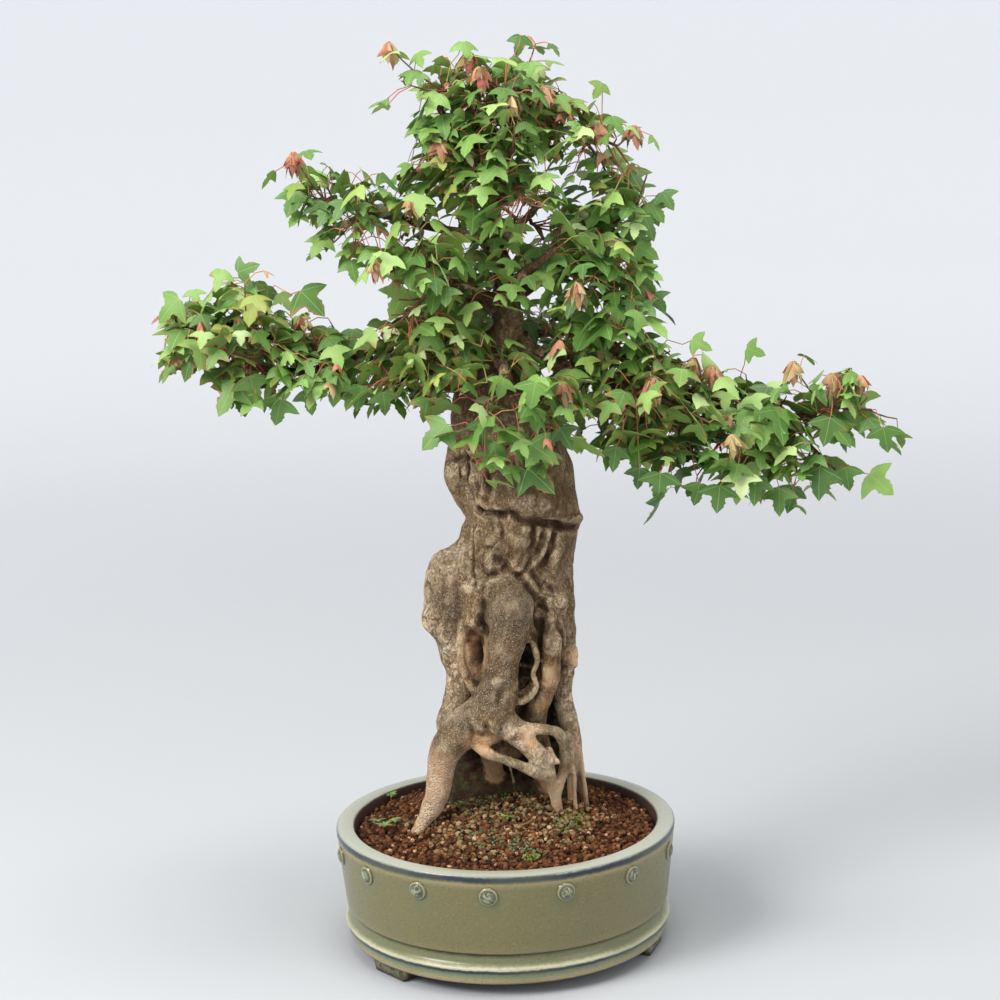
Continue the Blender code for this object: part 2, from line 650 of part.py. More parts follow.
def grow_twigs(bark, collection, material):
    """Each spray's twig with its route, blade length and the middle of its pad."""
    limbs = samples_of(LIMBS)
    wood = [*limbs.values(), *samples_of({"heart": HEART, **SWELLINGS}).values()]
    obstacles = [(point.to_3d(), point.w) for samples in wood for point in samples]
    chance = random.Random(SPRAY_SEED)
    standing = [bark]
    taken = []
    sprays = []
    for pad in PADS:
        name, middle, _, _, blade, carriers = pad
        for number, target in enumerate(spray_targets(pad, chance)):
            spray = f"spray_{name}_{number}"
            seat_place = find_seat(target, carriers, limbs, taken)
            twig, route = grow_twig(
                spray, target, seat_place, standing, obstacles, chance, collection, material
            )
            if twig is None:
                continue
            taken.append(seat_place[0])
            obstacles += [(point, TWIG_RADIUS * MM) for point in dense(route, TWIG_STEP * MM)]
            sprays.append((twig, route, blade, Vector(middle) * MM))
    return sprays


def leaf_mesh(length, root, thickness, stalk_share):
    """A three-lobed blade and its stalk in the blade's own frame: +Y to the middle tip, +Z its face.

    root is the stalk's far end. A stalk_share under 1 stops the stalk short of it.
    """
    bm = bmesh.new()
    foot = [bm.verts.new((side * STALK_HALF_WIDTH * MM, 0.0, 0.0)) for side in (-1, 1)]

    def pair(place):
        across, along, droop = place
        return [bm.verts.new(Vector((side * across, along, -droop)) * length) for side in (-1, 1)]

    shoulders = pair(SHOULDER)
    tips = pair(SIDE_LOBE_TIP)
    clefts = pair(CLEFT)
    across, along, droop = MIDDLE_LOBE_TIP
    middle = bm.verts.new(Vector((across, along, -droop)) * length)
    sheet = [
        bm.faces.new(corners)
        for corners in (
            (foot[0], foot[1], shoulders[1]),
            (foot[0], shoulders[1], shoulders[0]),
            (shoulders[0], shoulders[1], clefts[1]),
            (shoulders[0], clefts[1], clefts[0]),
            (clefts[0], clefts[1], middle),
            (shoulders[1], tips[1], clefts[1]),
            (shoulders[0], clefts[0], tips[0]),
        )
    ]
    grown = bmesh.ops.extrude_face_region(bm, geom=sheet, use_keep_orig=True)
    under = [item for item in grown["geom"] if isinstance(item, bmesh.types.BMVert)]
    bmesh.ops.translate(bm, verts=under, vec=(0.0, 0.0, -thickness))
    keel = [vert for vert in under if vert.co.y == 0.0]
    bmesh.ops.pointmerge(bm, verts=keel, merge_co=(0.0, 0.0, -thickness))
    heel = next(face for face in bm.faces if all(vert.co.y == 0.0 for vert in face.verts))
    drawn = bmesh.ops.extrude_face_region(bm, geom=[heel])
    end = [item for item in drawn["geom"] if isinstance(item, bmesh.types.BMVert)]
    bmesh.ops.translate(bm, verts=end, vec=(root + Vector((0.0, 0.0, thickness / 2))) * stalk_share)
    if heel.is_valid:
        bmesh.ops.delete(bm, geom=[heel], context="FACES_ONLY")
    bmesh.ops.triangulate(bm, faces=bm.faces)
    bmesh.ops.recalc_face_normals(bm, faces=bm.faces)
    return bm


def blade_frame(origin, forward, facing):
    """The matrix of a blade at origin whose tip points forward and whose face looks towards facing."""
    across = forward.cross(facing).normalized()
    face = across.cross(forward).normalized()
    frame = Matrix((across, forward, face)).transposed().to_4x4()
    return Matrix.Translation(origin) @ frame


def leaf_places(route):
    """Where pairs of leaves leave a twig, from its tip down, with the twig's direction there."""
    total = route_length(route)
    places = []
    for share in PAIR_PLACES:
        left = total * share - PAIR_SET_BACK * MM
        for a, b in zip(route, route[1:]):
            run = (b - a).length
            if left <= run:
                places.append((a.lerp(b, left / run), (b - a).normalized()))
                break
            left -= run
    return places


def place_leaf(spot, along, turn, blade, pad_middle, chance):
    """One try at a leaf: the frame of its blade, its length and where its stalk ends."""
    side = along.orthogonal().normalized()
    across = side * math.cos(turn) + along.cross(side) * math.sin(turn)
    stalk = across + along * chance.uniform(*STALK_FORWARD) + UP * chance.uniform(*STALK_RISE)
    stalk.normalize()
    origin = spot + stalk * chance.uniform(*STALK_LENGTH) * MM
    forward = (stalk - UP * chance.uniform(*BLADE_DROP)).normalized()
    outward = origin - pad_middle
    outward.z = 0.0
    wander = Vector([chance.uniform(-BLADE_WANDER, BLADE_WANDER) for _ in range(3)])
    frame = blade_frame(origin, forward, UP + outward.normalized() * BLADE_OUTWARD + wander)
    return frame, blade * chance.uniform(*BLADE_SIZE) * MM, frame.inverted() @ spot


def leaf_is_clear(candidate, reach, origin, solids):
    for tree, middle, size in solids:
        if (middle - origin).length < size + reach and candidate.overlap(tree):
            return False
    return True


def leaf_probe(frame, length, root, stalk_share):
    """The tree of a leaf grown thicker both ways, that finds what stands too near."""
    probe = leaf_mesh(length, root, (BLADE_THICKNESS + BLADE_CLEARANCE) * MM, stalk_share)
    lift = Matrix.Translation(UP * BLADE_CLEARANCE / 2 * MM)
    bmesh.ops.transform(probe, matrix=frame @ lift, verts=probe.verts)
    tree = tree_of(probe)
    probe.free()
    return tree


def leaf_at(spot, along, turn, blade, pad_middle, own, solids, chance):
    """A leaf that is clear of all that stands round it, with its tree, or nothing after many tries."""
    for _ in range(BLADE_TRIES):
        swing = chance.uniform(-RETRY_TURN, RETRY_TURN)
        frame, length, root = place_leaf(spot, along, turn + swing, blade, pad_middle, chance)
        if -root.y < SQUAREST_STALK * root.length:
            continue
        origin = frame.translation
        reach = BLADE_REACH * length
        if not leaf_is_clear(leaf_probe(frame, length, root, PROBE_STALK), reach, origin, own):
            continue
        if not leaf_is_clear(leaf_probe(frame, length, root, 1.0), reach, origin, solids):
            continue
        leaf = leaf_mesh(length, root, BLADE_THICKNESS * MM, 1.0)
        bmesh.ops.transform(leaf, matrix=frame, verts=leaf.verts)
        return leaf, (tree_of(leaf), origin, reach)
    return None, None


def make_leaves(route, blade, pad_middle, own, solids, chance, collection):
    """The leaves of one spray, in pairs that turn a quarter from each to the next.

    own holds the spray's twig, and gains its leaves.
    """
    for pair, (spot, along) in enumerate(leaf_places(route)):
        for side in (0, 1):
            if len(collection.objects) == MOST_LEAVES_A_SPRAY:
                return
            turn = chance.uniform(-PAIR_TURN, PAIR_TURN) + math.pi / 2 * pair + math.pi * side
            leaf, solid = leaf_at(spot, along, turn, blade, pad_middle, own, solids, chance)
            if leaf:
                own.append(solid)
                object_of(leaf, "leaf", collection)


def make_sprays(trunk, collection, material):
    """Every twig with its leaves, one node each."""
    bark = tree_of_mesh(trunk.data)
    sprays = grow_twigs(bark, collection, material)
    solids = [(bark, TRUNK_MIDDLE * MM, TRUNK_REACH * MM)]
    for twig, route, _, _ in sprays:
        solids.append((tree_of_mesh(twig.data), route[len(route) // 2], route_length(route)))
    chance = random.Random(LEAF_SEED)
    for twig, route, blade, middle in sprays:
        own = [solids.pop(1)]
        leaves = new_collection("leaves")
        make_leaves(route, blade, middle, own, solids, chance, leaves)
        boolean_with(twig, "UNION", leaves)
        solids += own


def shade(obj):
    obj.data.shade_smooth()
    obj.data.set_sharp_from_angle(angle=math.radians(40.0))


def centre_on_bounds(collection):
    """Hangs every piece on one empty, moved so that the origin is under the middle of the whole."""
    corners = [vert.co for obj in collection.objects for vert in obj.data.vertices]
    middle = [(min(c[axis] for c in corners) + max(c[axis] for c in corners)) / 2 for axis in (0, 1)]
    stand = bpy.data.objects.new("stand", None)
    collection.objects.link(stand)
    for obj in collection.objects:
        if obj is not stand:
            obj.parent = stand
    stand.location = (-middle[0], -middle[1], 0.0)


def main():
    clear_scene()
    bonsai = new_collection("trident_maple_bonsai")
    glaze = new_material("glaze", (0.235, 0.222, 0.127), 0.25)
    clay = new_material("baked clay grains", (0.116, 0.046, 0.024), 0.95)
    bark = new_material("bark", (0.34, 0.265, 0.185), 0.85)
    leaf = new_material("leaf", (0.09, 0.21, 0.05), 0.5)
    plastic = new_material("mesh plastic", (0.03, 0.03, 0.03), 0.6)
    pot = make_pot(bonsai, glaze)
    for index in (0, 1):
        make_screen(index, bonsai, plastic)
    trunk = make_trunk(bonsai, bark)
    make_soil(trunk, bonsai, clay)
    make_sprays(trunk, bonsai, leaf)
    shade(pot)
    shade(trunk)
    centre_on_bounds(bonsai)


main()
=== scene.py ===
"""The looks of the trident maple bonsai: bark, leaves, glaze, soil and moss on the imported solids.

Sizes in the tables are millimetres, measured from the middle of the pot where it stands, with
-Y towards the viewer. Meshes are made round that point in metres, then moved onto the solids.
"""

import math
import random
from itertools import product

import bmesh
import bpy
from mathutils import Matrix, Vector, noise
from mathutils.bvhtree import BVHTree
from mathutils.kdtree import KDTree


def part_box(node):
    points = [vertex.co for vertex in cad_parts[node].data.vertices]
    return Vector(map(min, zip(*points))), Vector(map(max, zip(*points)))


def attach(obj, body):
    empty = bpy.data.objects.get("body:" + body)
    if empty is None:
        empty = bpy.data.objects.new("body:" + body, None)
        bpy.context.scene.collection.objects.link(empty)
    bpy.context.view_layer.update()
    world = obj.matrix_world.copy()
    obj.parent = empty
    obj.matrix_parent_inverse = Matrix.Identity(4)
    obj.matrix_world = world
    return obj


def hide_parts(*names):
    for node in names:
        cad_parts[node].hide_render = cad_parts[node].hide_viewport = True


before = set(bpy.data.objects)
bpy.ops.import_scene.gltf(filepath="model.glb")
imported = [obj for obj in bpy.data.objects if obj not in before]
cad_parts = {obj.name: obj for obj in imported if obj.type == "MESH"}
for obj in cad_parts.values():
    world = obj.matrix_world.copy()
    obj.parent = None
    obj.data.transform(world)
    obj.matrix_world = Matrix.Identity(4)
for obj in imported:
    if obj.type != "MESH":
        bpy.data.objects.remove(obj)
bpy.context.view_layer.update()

MM = 0.001
UP = Vector((0.0, 0.0, 1.0))
GAP = 0.3
GOLDEN_TURN = math.pi * (3 - math.sqrt(5))
SOIL_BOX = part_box("soil")
STAND = Vector(((SOIL_BOX[0].x + SOIL_BOX[1].x) / 2, (SOIL_BOX[0].y + SOIL_BOX[1].y) / 2, 0.0))

# The pot, as in the solids
RIM_INNER_RADIUS = 134.0
RIM_OUTER_RADIUS = 150.0
RIM_HEIGHT = 107.5
WALL_FOOT = (142.6, 37.5)
INNER_FOOT = (129.0, 28.0)
FLOOR = 19.0
FLOOR_RADIUS = 119.0
UNDERSIDE = 10.5
POT_PROFILE = (
    (FLOOR_RADIUS, FLOOR), (126.0, 21.0), INNER_FOOT, (130.0, 45.0), (132.0, 75.0), (133.6, 103.0),
    (134.3, 106.4), (135.2, 107.3), (137.0, 107.5), (142.0, 107.7), (147.4, 107.6), (148.9, 107.1),
    (149.7, 106.0), (149.9, 104.4), (149.4, 101.0), (148.3, 90.0), (146.9, 76.0), (145.2, 60.0),
    (143.5, 45.0), (142.7, 39.5), (142.2, 38.0), (140.6, 37.0), (139.7, 35.6), (139.5, 33.0),
    (139.9, 30.0), (141.3, 27.6), (143.4, 26.3), (144.3, 25.3), (144.5, 24.3), (144.0, 22.8),
    (143.2, 20.5), (142.0, 15.5), (140.9, 11.9), (139.6, 10.7), (136.0, UNDERSIDE),
)
POT_STEPS = 120
DRAIN_RADIUS = 11.0
DRAIN_SPACING = 110.0

STUDS = 15
STUD_HEIGHT = 90.0
STUD_FIRST = math.radians(-6.0)
STUD_LEAN = math.radians(6.5)
STUD_LEAN_FROM = math.radians(12.0)
STUD_PROFILE = ((8.5, -2.0), (8.4, 0.2), (7.9, 1.0), (7.2, 1.7), (6.6, 2.0), (6.2, 1.9), (5.7, 2.3),
                (4.6, 3.1), (3.0, 3.7), (1.4, 3.9))
HALO_REACH = 17.0

FOOT_ANGLES = (-48.0, 70.0, 190.0)
FOOT_LENGTH_TOP = 46.0
FOOT_LENGTH_BOTTOM = 37.0
FOOT_DEPTH = 17.0
FOOT_RADIUS = 128.5
FOOT_EDGE = 1.6
FOOT_WEAR = 0.5

# The bed of soil
SOIL_EDGE = 97.5
MOUND_RISE = 23.0
MOUND_MIDDLE = (6.0, 30.0)
MOUND_WIDTH = 78.0
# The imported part: its rings from the middle to the edge, and how far it lies under the mound
BED_RINGS = (0.06, 0.16, 0.26, 0.36, 0.46, 0.56, 0.66, 0.76, 0.86, 0.94, 0.997)
BED_SUNK = 2.0
BED_FOOT = 21.0
BED_STEPS = 96

# The loose grains on the bed
GRAIN_SEED = 3
GRAIN_SHAPES = 14
GRAIN_LIMIT = 132.0
BED_REACH = 133.0
# Each layer of clay: how many grains, their sizes, their tones and how far they lie above the mound
CLAY_LAYERS = (
    (3400, (4.2, 6.6), (0.0, 0.8), (-2.6, -0.4)),
    (3000, (2.8, 5.6), (0.0, 0.97), (-1.6, 1.4)),
    (120, (3.0, 5.0), (0.97, 1.0), (-0.6, 1.4)),
)
# The colours of each kind as the eye reads them, from the darkest to the rare pale one
CLAY_TONES = ((46, 28, 18), (88, 55, 33), (122, 79, 50), (206, 164, 128))
STONE_TONES = ((64, 46, 30), (108, 84, 56), (152, 126, 88), (208, 192, 160))
# Patches of paler stones: the middle, the reach and how many stones
STONE_PATCHES = (
    ((-20, -45), 46, 260), ((40, -30), 40, 240), ((-60, -10), 30, 90), ((10, 30), 60, 260),
    ((75, 10), 26, 80),
)
STONE_SIZES = (2.2, 6.0)
STONE_LIFT = (-0.8, 1.8)
# Moss and lichen: the middle of each patch, its reach, how many tufts and their tones
MOSS = (
    ((-16, -52), 15, 60, (0.2, 0.7)), ((12, -66), 12, 50, (0.2, 0.7)), ((28, -78), 7, 24, (0.3, 0.6)),
    ((20, -88), 7, 34, (0.8, 1.0)), ((-32, -38), 12, 40, (0.1, 0.6)), ((52, -30), 14, 70, (0.3, 0.9)),
    ((62, -8), 12, 70, (0.7, 1.0)), ((0, 10), 40, 260, (0.0, 0.9)), ((-92, 6), 8, 20, (0.2, 0.6)),
    ((-30, 30), 22, 120, (0.0, 0.8)), ((40, 70), 30, 120, (0.2, 0.9)),
)
MOSS_SIZES = (1.4, 3.4)
MOSS_LIFT = (0.4, 1.8)
# Seedlings in the soil: x and y
SEEDLINGS = ((-106, 78), (-114, 6), (-98, 2), (50, 120), (56, 66), (-1, -27), (-108, -8))
SEEDLING_LEAF = (4.5, 8.0)
SEEDLING_HEIGHT = 6.0
SEEDLING_LEAVES = 5
SEEDLING_STEM = (0.6, 0.4)
SEEDLING_STALK = 0.3

# The trunk and its roots, each a route of (x, y, z, radius), as in the solids
HEART = (
    (4, 42, 170, 24), (3, 40, 203, 33), (4, 34, 251, 42), (0, 30, 298, 47), (5, 28, 334, 43),
    (16, 27, 370, 44), (14, 26, 406, 46), (7, 26, 442, 44), (3, 26, 472, 42), (0, 26, 490, 35),
    (2, 26, 510, 24), (9, 25, 527, 17), (15, 24, 545, 13), (14, 23, 565, 10), (10, 22, 591, 8),
)
SWELLINGS = {
    "left shoulder": ((-16, 28, 357, 20), (-34, 26, 327, 27), (-42, 26, 295, 26), (-40, 27, 263, 20),
                      (-35, 26, 236, 15), (-38, 22, 209, 15), (-43, 12, 189, 17)),
    "club": ((7, -2, 319, 13), (9, -5, 303, 21), (7, -8, 281, 19), (2, -10, 258, 16.5),
             (-1, -10, 235, 16), (-7, -8, 215, 20), (-15, -6, 197, 22)),
    "right shoulder": ((26, 22, 450, 30), (35, 18, 420, 34), (43, 18, 389, 30), (51, 22, 361, 20),
                       (51, 26, 329, 16), (52, 24, 298, 13)),
    "belly": ((-9, 12, 418, 20), (5, 4, 399, 22), (24, 2, 392, 22), (44, 8, 385, 20)),
    "left lobe": ((-29, 22, 436, 13), (-33, 18, 417, 12.5), (-30, 18, 398, 10), (-22, 20, 381, 9)),
    "front lobe": ((-15, 8, 431, 12), (-19, 4, 412, 9), (-15, 6, 392, 8)),
    "right band": ((55, 14, 371, 17), (50, 10, 346, 15), (43, 8, 319, 12), (34, 6, 306, 7)),
    "left knee": ((-14, 5, 366, 11), (-12, 3, 351, 11)),
    "middle knee": ((15, 3, 375, 13), (17, 0, 353, 13), (10, 0, 335, 9)),
    "back swelling": ((-6, 54, 400, 22), (4, 60, 360, 26), (10, 58, 310, 24), (0, 60, 260, 20)),
}
ROOTS = {
    "left leg": ((-15, -5, 202, 20), (-35, -6, 190, 18), (-50, -8, 174, 14.5), (-56, -8, 153, 12),
                 (-59, -9, 134, 11.2), (-67, -11, 118, 8.6), (-75, -14, 106, 6.4), (-84, -18, 88, 5)),
    "front right": ((-9, -6, 205, 16), (3, -12, 193, 11), (16, -14, 183, 9.6), (27, -14, 171, 8.6),
                    (36, -12, 157, 7.6), (41, -8, 140, 6.2), (45, -2, 125, 5.2), (50, 4, 96, 4.4)),
    "green loop": ((8, -10, 202, 5), (16, -12, 195, 4.6), (29, -12, 191, 4.6), (44, -10, 188, 5),
                   (53, -4, 178, 6), (55, 0, 163, 6.2), (53, 2, 148, 4.6), (49, 2, 136, 3.6),
                   (46, 2, 121, 3.4)),
    "crossing": ((-22, -14, 178, 6), (-12, -20, 171, 5.2), (3, -22, 166, 5), (16, -22, 160, 5),
                 (28, -19, 153, 5), (37, -15, 147, 4.6), (44, -6, 133, 4)),
    "stub": ((-14, 10, 180, 12), (-11, 24, 155, 9), (-8, 36, 135, 7.6), (-7, 44, 96, 7)),
    "right column": ((46, 12, 314, 13), (47, 6, 288, 11), (45, 2, 262, 10.6), (42, 2, 238, 11),
                     (35, 6, 218, 10.6), (29, 10, 202, 10.5), (28, 16, 184, 11), (33, 26, 158, 10),
                     (39, 34, 125, 8.5), (42, 38, 96, 7)),
    "right outer": ((55, 24, 298, 12), (57, 26, 261, 10), (56, 26, 233, 9), (54, 26, 211, 9),
                    (58, 27, 189, 9.4), (63, 28, 166, 7.2), (67, 28, 144, 5.4), (70, 29, 125, 4.4),
                    (75, 31, 94, 4)),
    "thin inner": ((56, 12, 176, 5), (60, 14, 154, 3.6), (60, 20, 135, 3.2), (59, 28, 98, 3)),
    "slot": ((22, 2, 280, 3.4), (29, -2, 267, 3.2), (30, -2, 258, 3.2), (27, -3, 249, 3.2),
             (26, -4, 243, 3.2), (27, -4, 236, 3.2), (25, -5, 228, 3.2), (19, -6, 222, 3.2),
             (12, -6, 220, 3)),
    "hooked": ((-23, 0, 290, 6.2), (-30, -3, 286, 6.2), (-34, -5, 275, 5.6), (-35, -6, 263, 5),
               (-34, -6, 248, 4.4), (-30, -6, 235, 4), (-25, -5, 224, 3.4)),
    "back left": ((-22, 52, 205, 18), (-36, 62, 178, 13), (-50, 70, 148, 9), (-60, 78, 122, 6.6),
                  (-68, 84, 92, 5)),
    "back": ((6, 58, 210, 20), (8, 72, 178, 13), (4, 84, 148, 9), (-2, 92, 120, 6.4), (-4, 98, 92, 5)),
    "back right": ((34, 50, 200, 14), (48, 60, 170, 10), (60, 68, 142, 7), (68, 76, 116, 5.4),
                   (74, 82, 92, 4.4)),
}
# How a route rounds off past its ends, as (reach, radius) in shares of its end's radius
DOME = ((0.5, 0.84), (0.85, 0.48))
WOOD_VOXEL = 1.9
WOOD_SIDES = 24
WOOD_SPANS = 4

# Small growths on the wood: root buds, broken ends and thin roots
NUBS = {
    "inner core": ((6, 40, 200, 24), (4, 58, 172, 22), (4, 62, 145, 18), (4, 62, 120, 16),
                   (4, 62, 98, 15)),
    "left core": ((-20, 32, 192, 20), (-24, 46, 165, 20), (-26, 52, 140, 19), (-26, 54, 112, 20)),
    "web core": ((20, 40, 202, 14), (25, 44, 182, 15), (27, 48, 160, 14), (23, 50, 138, 17)),
    "right core": ((36, 44, 196, 16), (40, 52, 168, 16), (42, 54, 142, 16), (42, 54, 112, 18)),
    "root ball": ((-34, 46, 108, 20), (-14, 48, 112, 25), (12, 50, 114, 26), (34, 48, 110, 23),
                  (52, 46, 106, 17)),
    "wavy root": ((24, -4, 270, 3.6), (29, -9, 262, 3), (31, -10, 250, 3), (27, -11, 240, 3),
                  (30, -11, 230, 3), (25, -12, 221, 3), (16, -14, 216, 3.4)),
    "hook bud": ((-29, -3, 290, 4.4), (-25, -7, 288, 4.6), (-23, -9, 285, 3.6)),
    "finger 1": ((55, 18, 262, 4.2), (62, 10, 258, 3.2), (66, 4, 252, 2.4)),
    "finger 2": ((56, 18, 254, 4.2), (63, 8, 250, 3), (65, 2, 243, 2.4)),
    "finger 3": ((54, 14, 246, 4), (59, 6, 243, 3), (60, 0, 236, 2.2)),
    "finger heel": ((52, 18, 262, 10), (60, 10, 254, 7.5), (63, 6, 246, 5)),
    "ridge knob": ((48, 6, 303, 5.5), (53, -2, 303, 5.8), (54, -6, 302, 4.4)),
    "broken end": ((34, -17, 151, 4.4), (40, -19, 152, 3.6), (43, -20, 153, 2.6)),
    "loop claw": ((40, -12, 172, 3.4), (44, -14, 164, 3), (48, -14, 160, 2.4)),
    "hair root 1": ((66, 26, 168, 3), (70, 22, 148, 2.4), (72, 22, 128, 2.2), (74, 24, 104, 2)),
    "hair root 2": ((58, 4, 160, 3), (62, 6, 142, 2.3), (62, 8, 126, 2.2), (63, 10, 106, 2)),
    "hair root 3": ((-4, 20, 170, 3), (4, 12, 152, 2.4), (8, 12, 138, 2.2), (10, 14, 108, 2)),
    "old scar": ((-36, 2, 246, 4), (-42, -2, 246, 3.6)),
}

# Creases in the wood, each with its points, width and depth. A ridge has a negative depth
CREASES = (
    (((-40, 14, 428), (-33, 6, 430), (-27, 1, 431), (-18, -9, 430), (-9, -13, 429), (1, -17, 433)), 3.4,
      4.0),
    (((-27, 0, 438), (-26, 0, 420), (-25, 0, 405), (-21, -1, 390)), 3.2, 6.5),
    (((-2, -15, 440), (-6, -15, 424), (-8, -14, 406), (-10, -12, 388)), 4.0, 5.0),
    (((-17, -8, 430), (-15, -9, 412), (-15, -9, 398)), 2.0, 2.0),
    (((-20, -4, 384), (-7, -11, 382), (10, -18, 383), (27, -15, 375), (41, -10, 374), (58, -2, 367),
      (78, 12, 366)), 3.6, 5.4),
    (((-10, -14, 400), (10, -20, 399), (27, -18, 393), (42, -13, 391), (62, -2, 384), (74, 8, 378)), 11.0,
      -4.0),
    (((31, -15, 380), (32, -14, 367), (30, -13, 356), (27, -13, 344)), 3.6, 6.0),
    (((40, -8, 370), (37, -9, 354), (31, -9, 344), (23, -11, 334), (14, -12, 326)), 2.4, 3.2),
    (((45, -6, 370), (42, -6, 354), (36, -6, 342), (26, -9, 330)), 2.0, -1.8),
    (((50, -4, 370), (47, -4, 352), (39, -4, 336), (30, -7, 328)), 2.2, 1.8),
    (((66, 6, 360), (63, 4, 338), (54, 0, 318)), 3.0, 2.0),
    (((1, -15, 380), (4, -15, 366), (4, -15, 356)), 2.4, 2.8),
    (((-16, -11, 336), (-10, -12, 331), (-2, -14, 329), (6, -14, 335), (9, -14, 346)), 2.4, 3.0),
    (((-14, -10, 352), (-8, -12, 355), (0, -14, 354)), 2.2, 2.0),
    (((-20, -2, 378), (-21, -2, 360), (-22, -4, 341), (-22, -8, 324), (-20, -10, 303)), 1.9, 3.6),
    (((-18, -10, 306), (-15, -12, 316), (-10, -13, 326), (-2, -14, 333), (8, -14, 335), (18, -12, 327),
      (27, -7, 314), (31, -4, 298)), 2.4, 2.6),
    (((-13, -13, 314), (-15, -12, 296), (-15, -11, 280), (-18, -4, 262), (-23, 2, 240)), 4.0, 7.0),
    (((31, -4, 304), (31, -2, 286), (26, -2, 268)), 3.0, 4.0),
    (((-23, -4, 284), (-22, -4, 271), (-23, 0, 256), (-26, 4, 240)), 5.0, 9.0),
    (((18, -12, 332), (29, -7, 319), (40, 0, 306), (52, -4, 296)), 3.2, -2.6),
    (((24, -10, 336), (36, -5, 321), (49, -2, 308)), 2.4, 2.6),
    (((28, -7, 310), (38, -1, 298), (46, -3, 290)), 2.2, 2.2),
    (((-40, -4, 284), (-37, -6, 258), (-32, -6, 233)), 2.4, 2.4),
    (((-44, 4, 304), (-52, 6, 290), (-56, 8, 272)), 3.0, 2.4),
    (((-28, -6, 338), (-40, -2, 328), (-54, 4, 322)), 1.8, 1.6),
    (((37, 0, 290), (33, -4, 260), (31, -5, 233), (26, 0, 210)), 2.4, 1.6),
    (((50, -6, 294), (55, -5, 272), (54, -4, 250), (52, 8, 228), (47, 18, 206)), 3.0, 4.6),
    (((-24, -8, 242), (-36, -10, 229), (-48, -8, 214)), 3.0, 3.4),
    (((0, -26, 234), (-3, -26, 222), (-10, -26, 212)), 2.8, 2.6),
    (((-15, -25, 210), (-13, -26, 197), (-9, -23, 184)), 2.6, 3.6),
    (((-31, -22, 202), (-26, -23, 190), (-28, -20, 178)), 2.8, 2.2),
    (((20, 2, 506), (24, -2, 470), (18, -6, 440)), 4.0, 3.0),
    (((-14, 4, 506), (-20, 2, 474), (-24, 2, 446)), 4.0, 3.4),
)
# Bosses and pits on the wood: middle, radius and rise
BOSSES = (
    ((-6, -12, 344), 12.0, 4.6), ((0, -16, 343), 7.5, -6.0), ((-46, 10, 360), 17.0, -7.0),
    ((-43, 33, 357), 15.0, -10.0), ((64, 12, 438), 20.0, -7.0), ((-16, -8, 418), 9.0, 3.0),
    ((-17, -3, 385), 4.6, -8.0), ((-34, 8, 443), 11.0, -4.5), ((-36, 6, 414), 13.0, 3.6),
    ((-19, -6, 412), 8.0, 2.6), ((24, -20, 408), 30.0, 5.0), ((-36, 4, 424), 12.0, 3.0),
    ((70, 6, 374), 9.0, 4.6), ((66, 4, 408), 21.0, -9.0), ((68, 12, 338), 14.0, -4.0),
    ((34, -12, 384), 5.0, 1.6), ((35, -13, 379), 2.6, -3.0), ((-8, -10, 366), 13.0, 3.6),
    ((18, -15, 358), 12.0, 4.6), ((52, -2, 345), 13.0, 2.4), ((7, -24, 304), 22.0, 4.0),
    ((-2, -26, 268), 14.0, 2.4), ((-50, 9, 330), 20.0, 3.6), ((-60, 15, 283), 13.0, 6.0),
    ((-67, 17, 301), 7.0, -4.0), ((-42, -1, 306), 13.0, 3.0), ((-58, 22, 258), 12.0, -3.6),
    ((53, -3, 303), 8.5, 2.6), ((55, -1, 298), 3.4, -5.0), ((20, -6, 252), 7.0, -12.0),
    ((19, -6, 238), 6.0, -10.0), ((21, -5, 264), 5.0, -8.0), ((46, -8, 266), 14.0, 4.0),
    ((42, -8, 240), 10.0, 2.0), ((-5, -26, 237), 9.0, 4.0), ((-28, -22, 208), 13.0, 4.2),
    ((-18, -23, 189), 6.5, -4.6), ((-52, -20, 178), 10.0, 2.0), ((10, -28, 222), 8.0, 2.0),
    ((-44, -10, 330), 5.0, 2.2), ((-30, -4, 318), 6.0, 2.4), ((14, 4, 470), 16.0, 3.0),
    ((40, 6, 460), 12.0, 3.6),
)
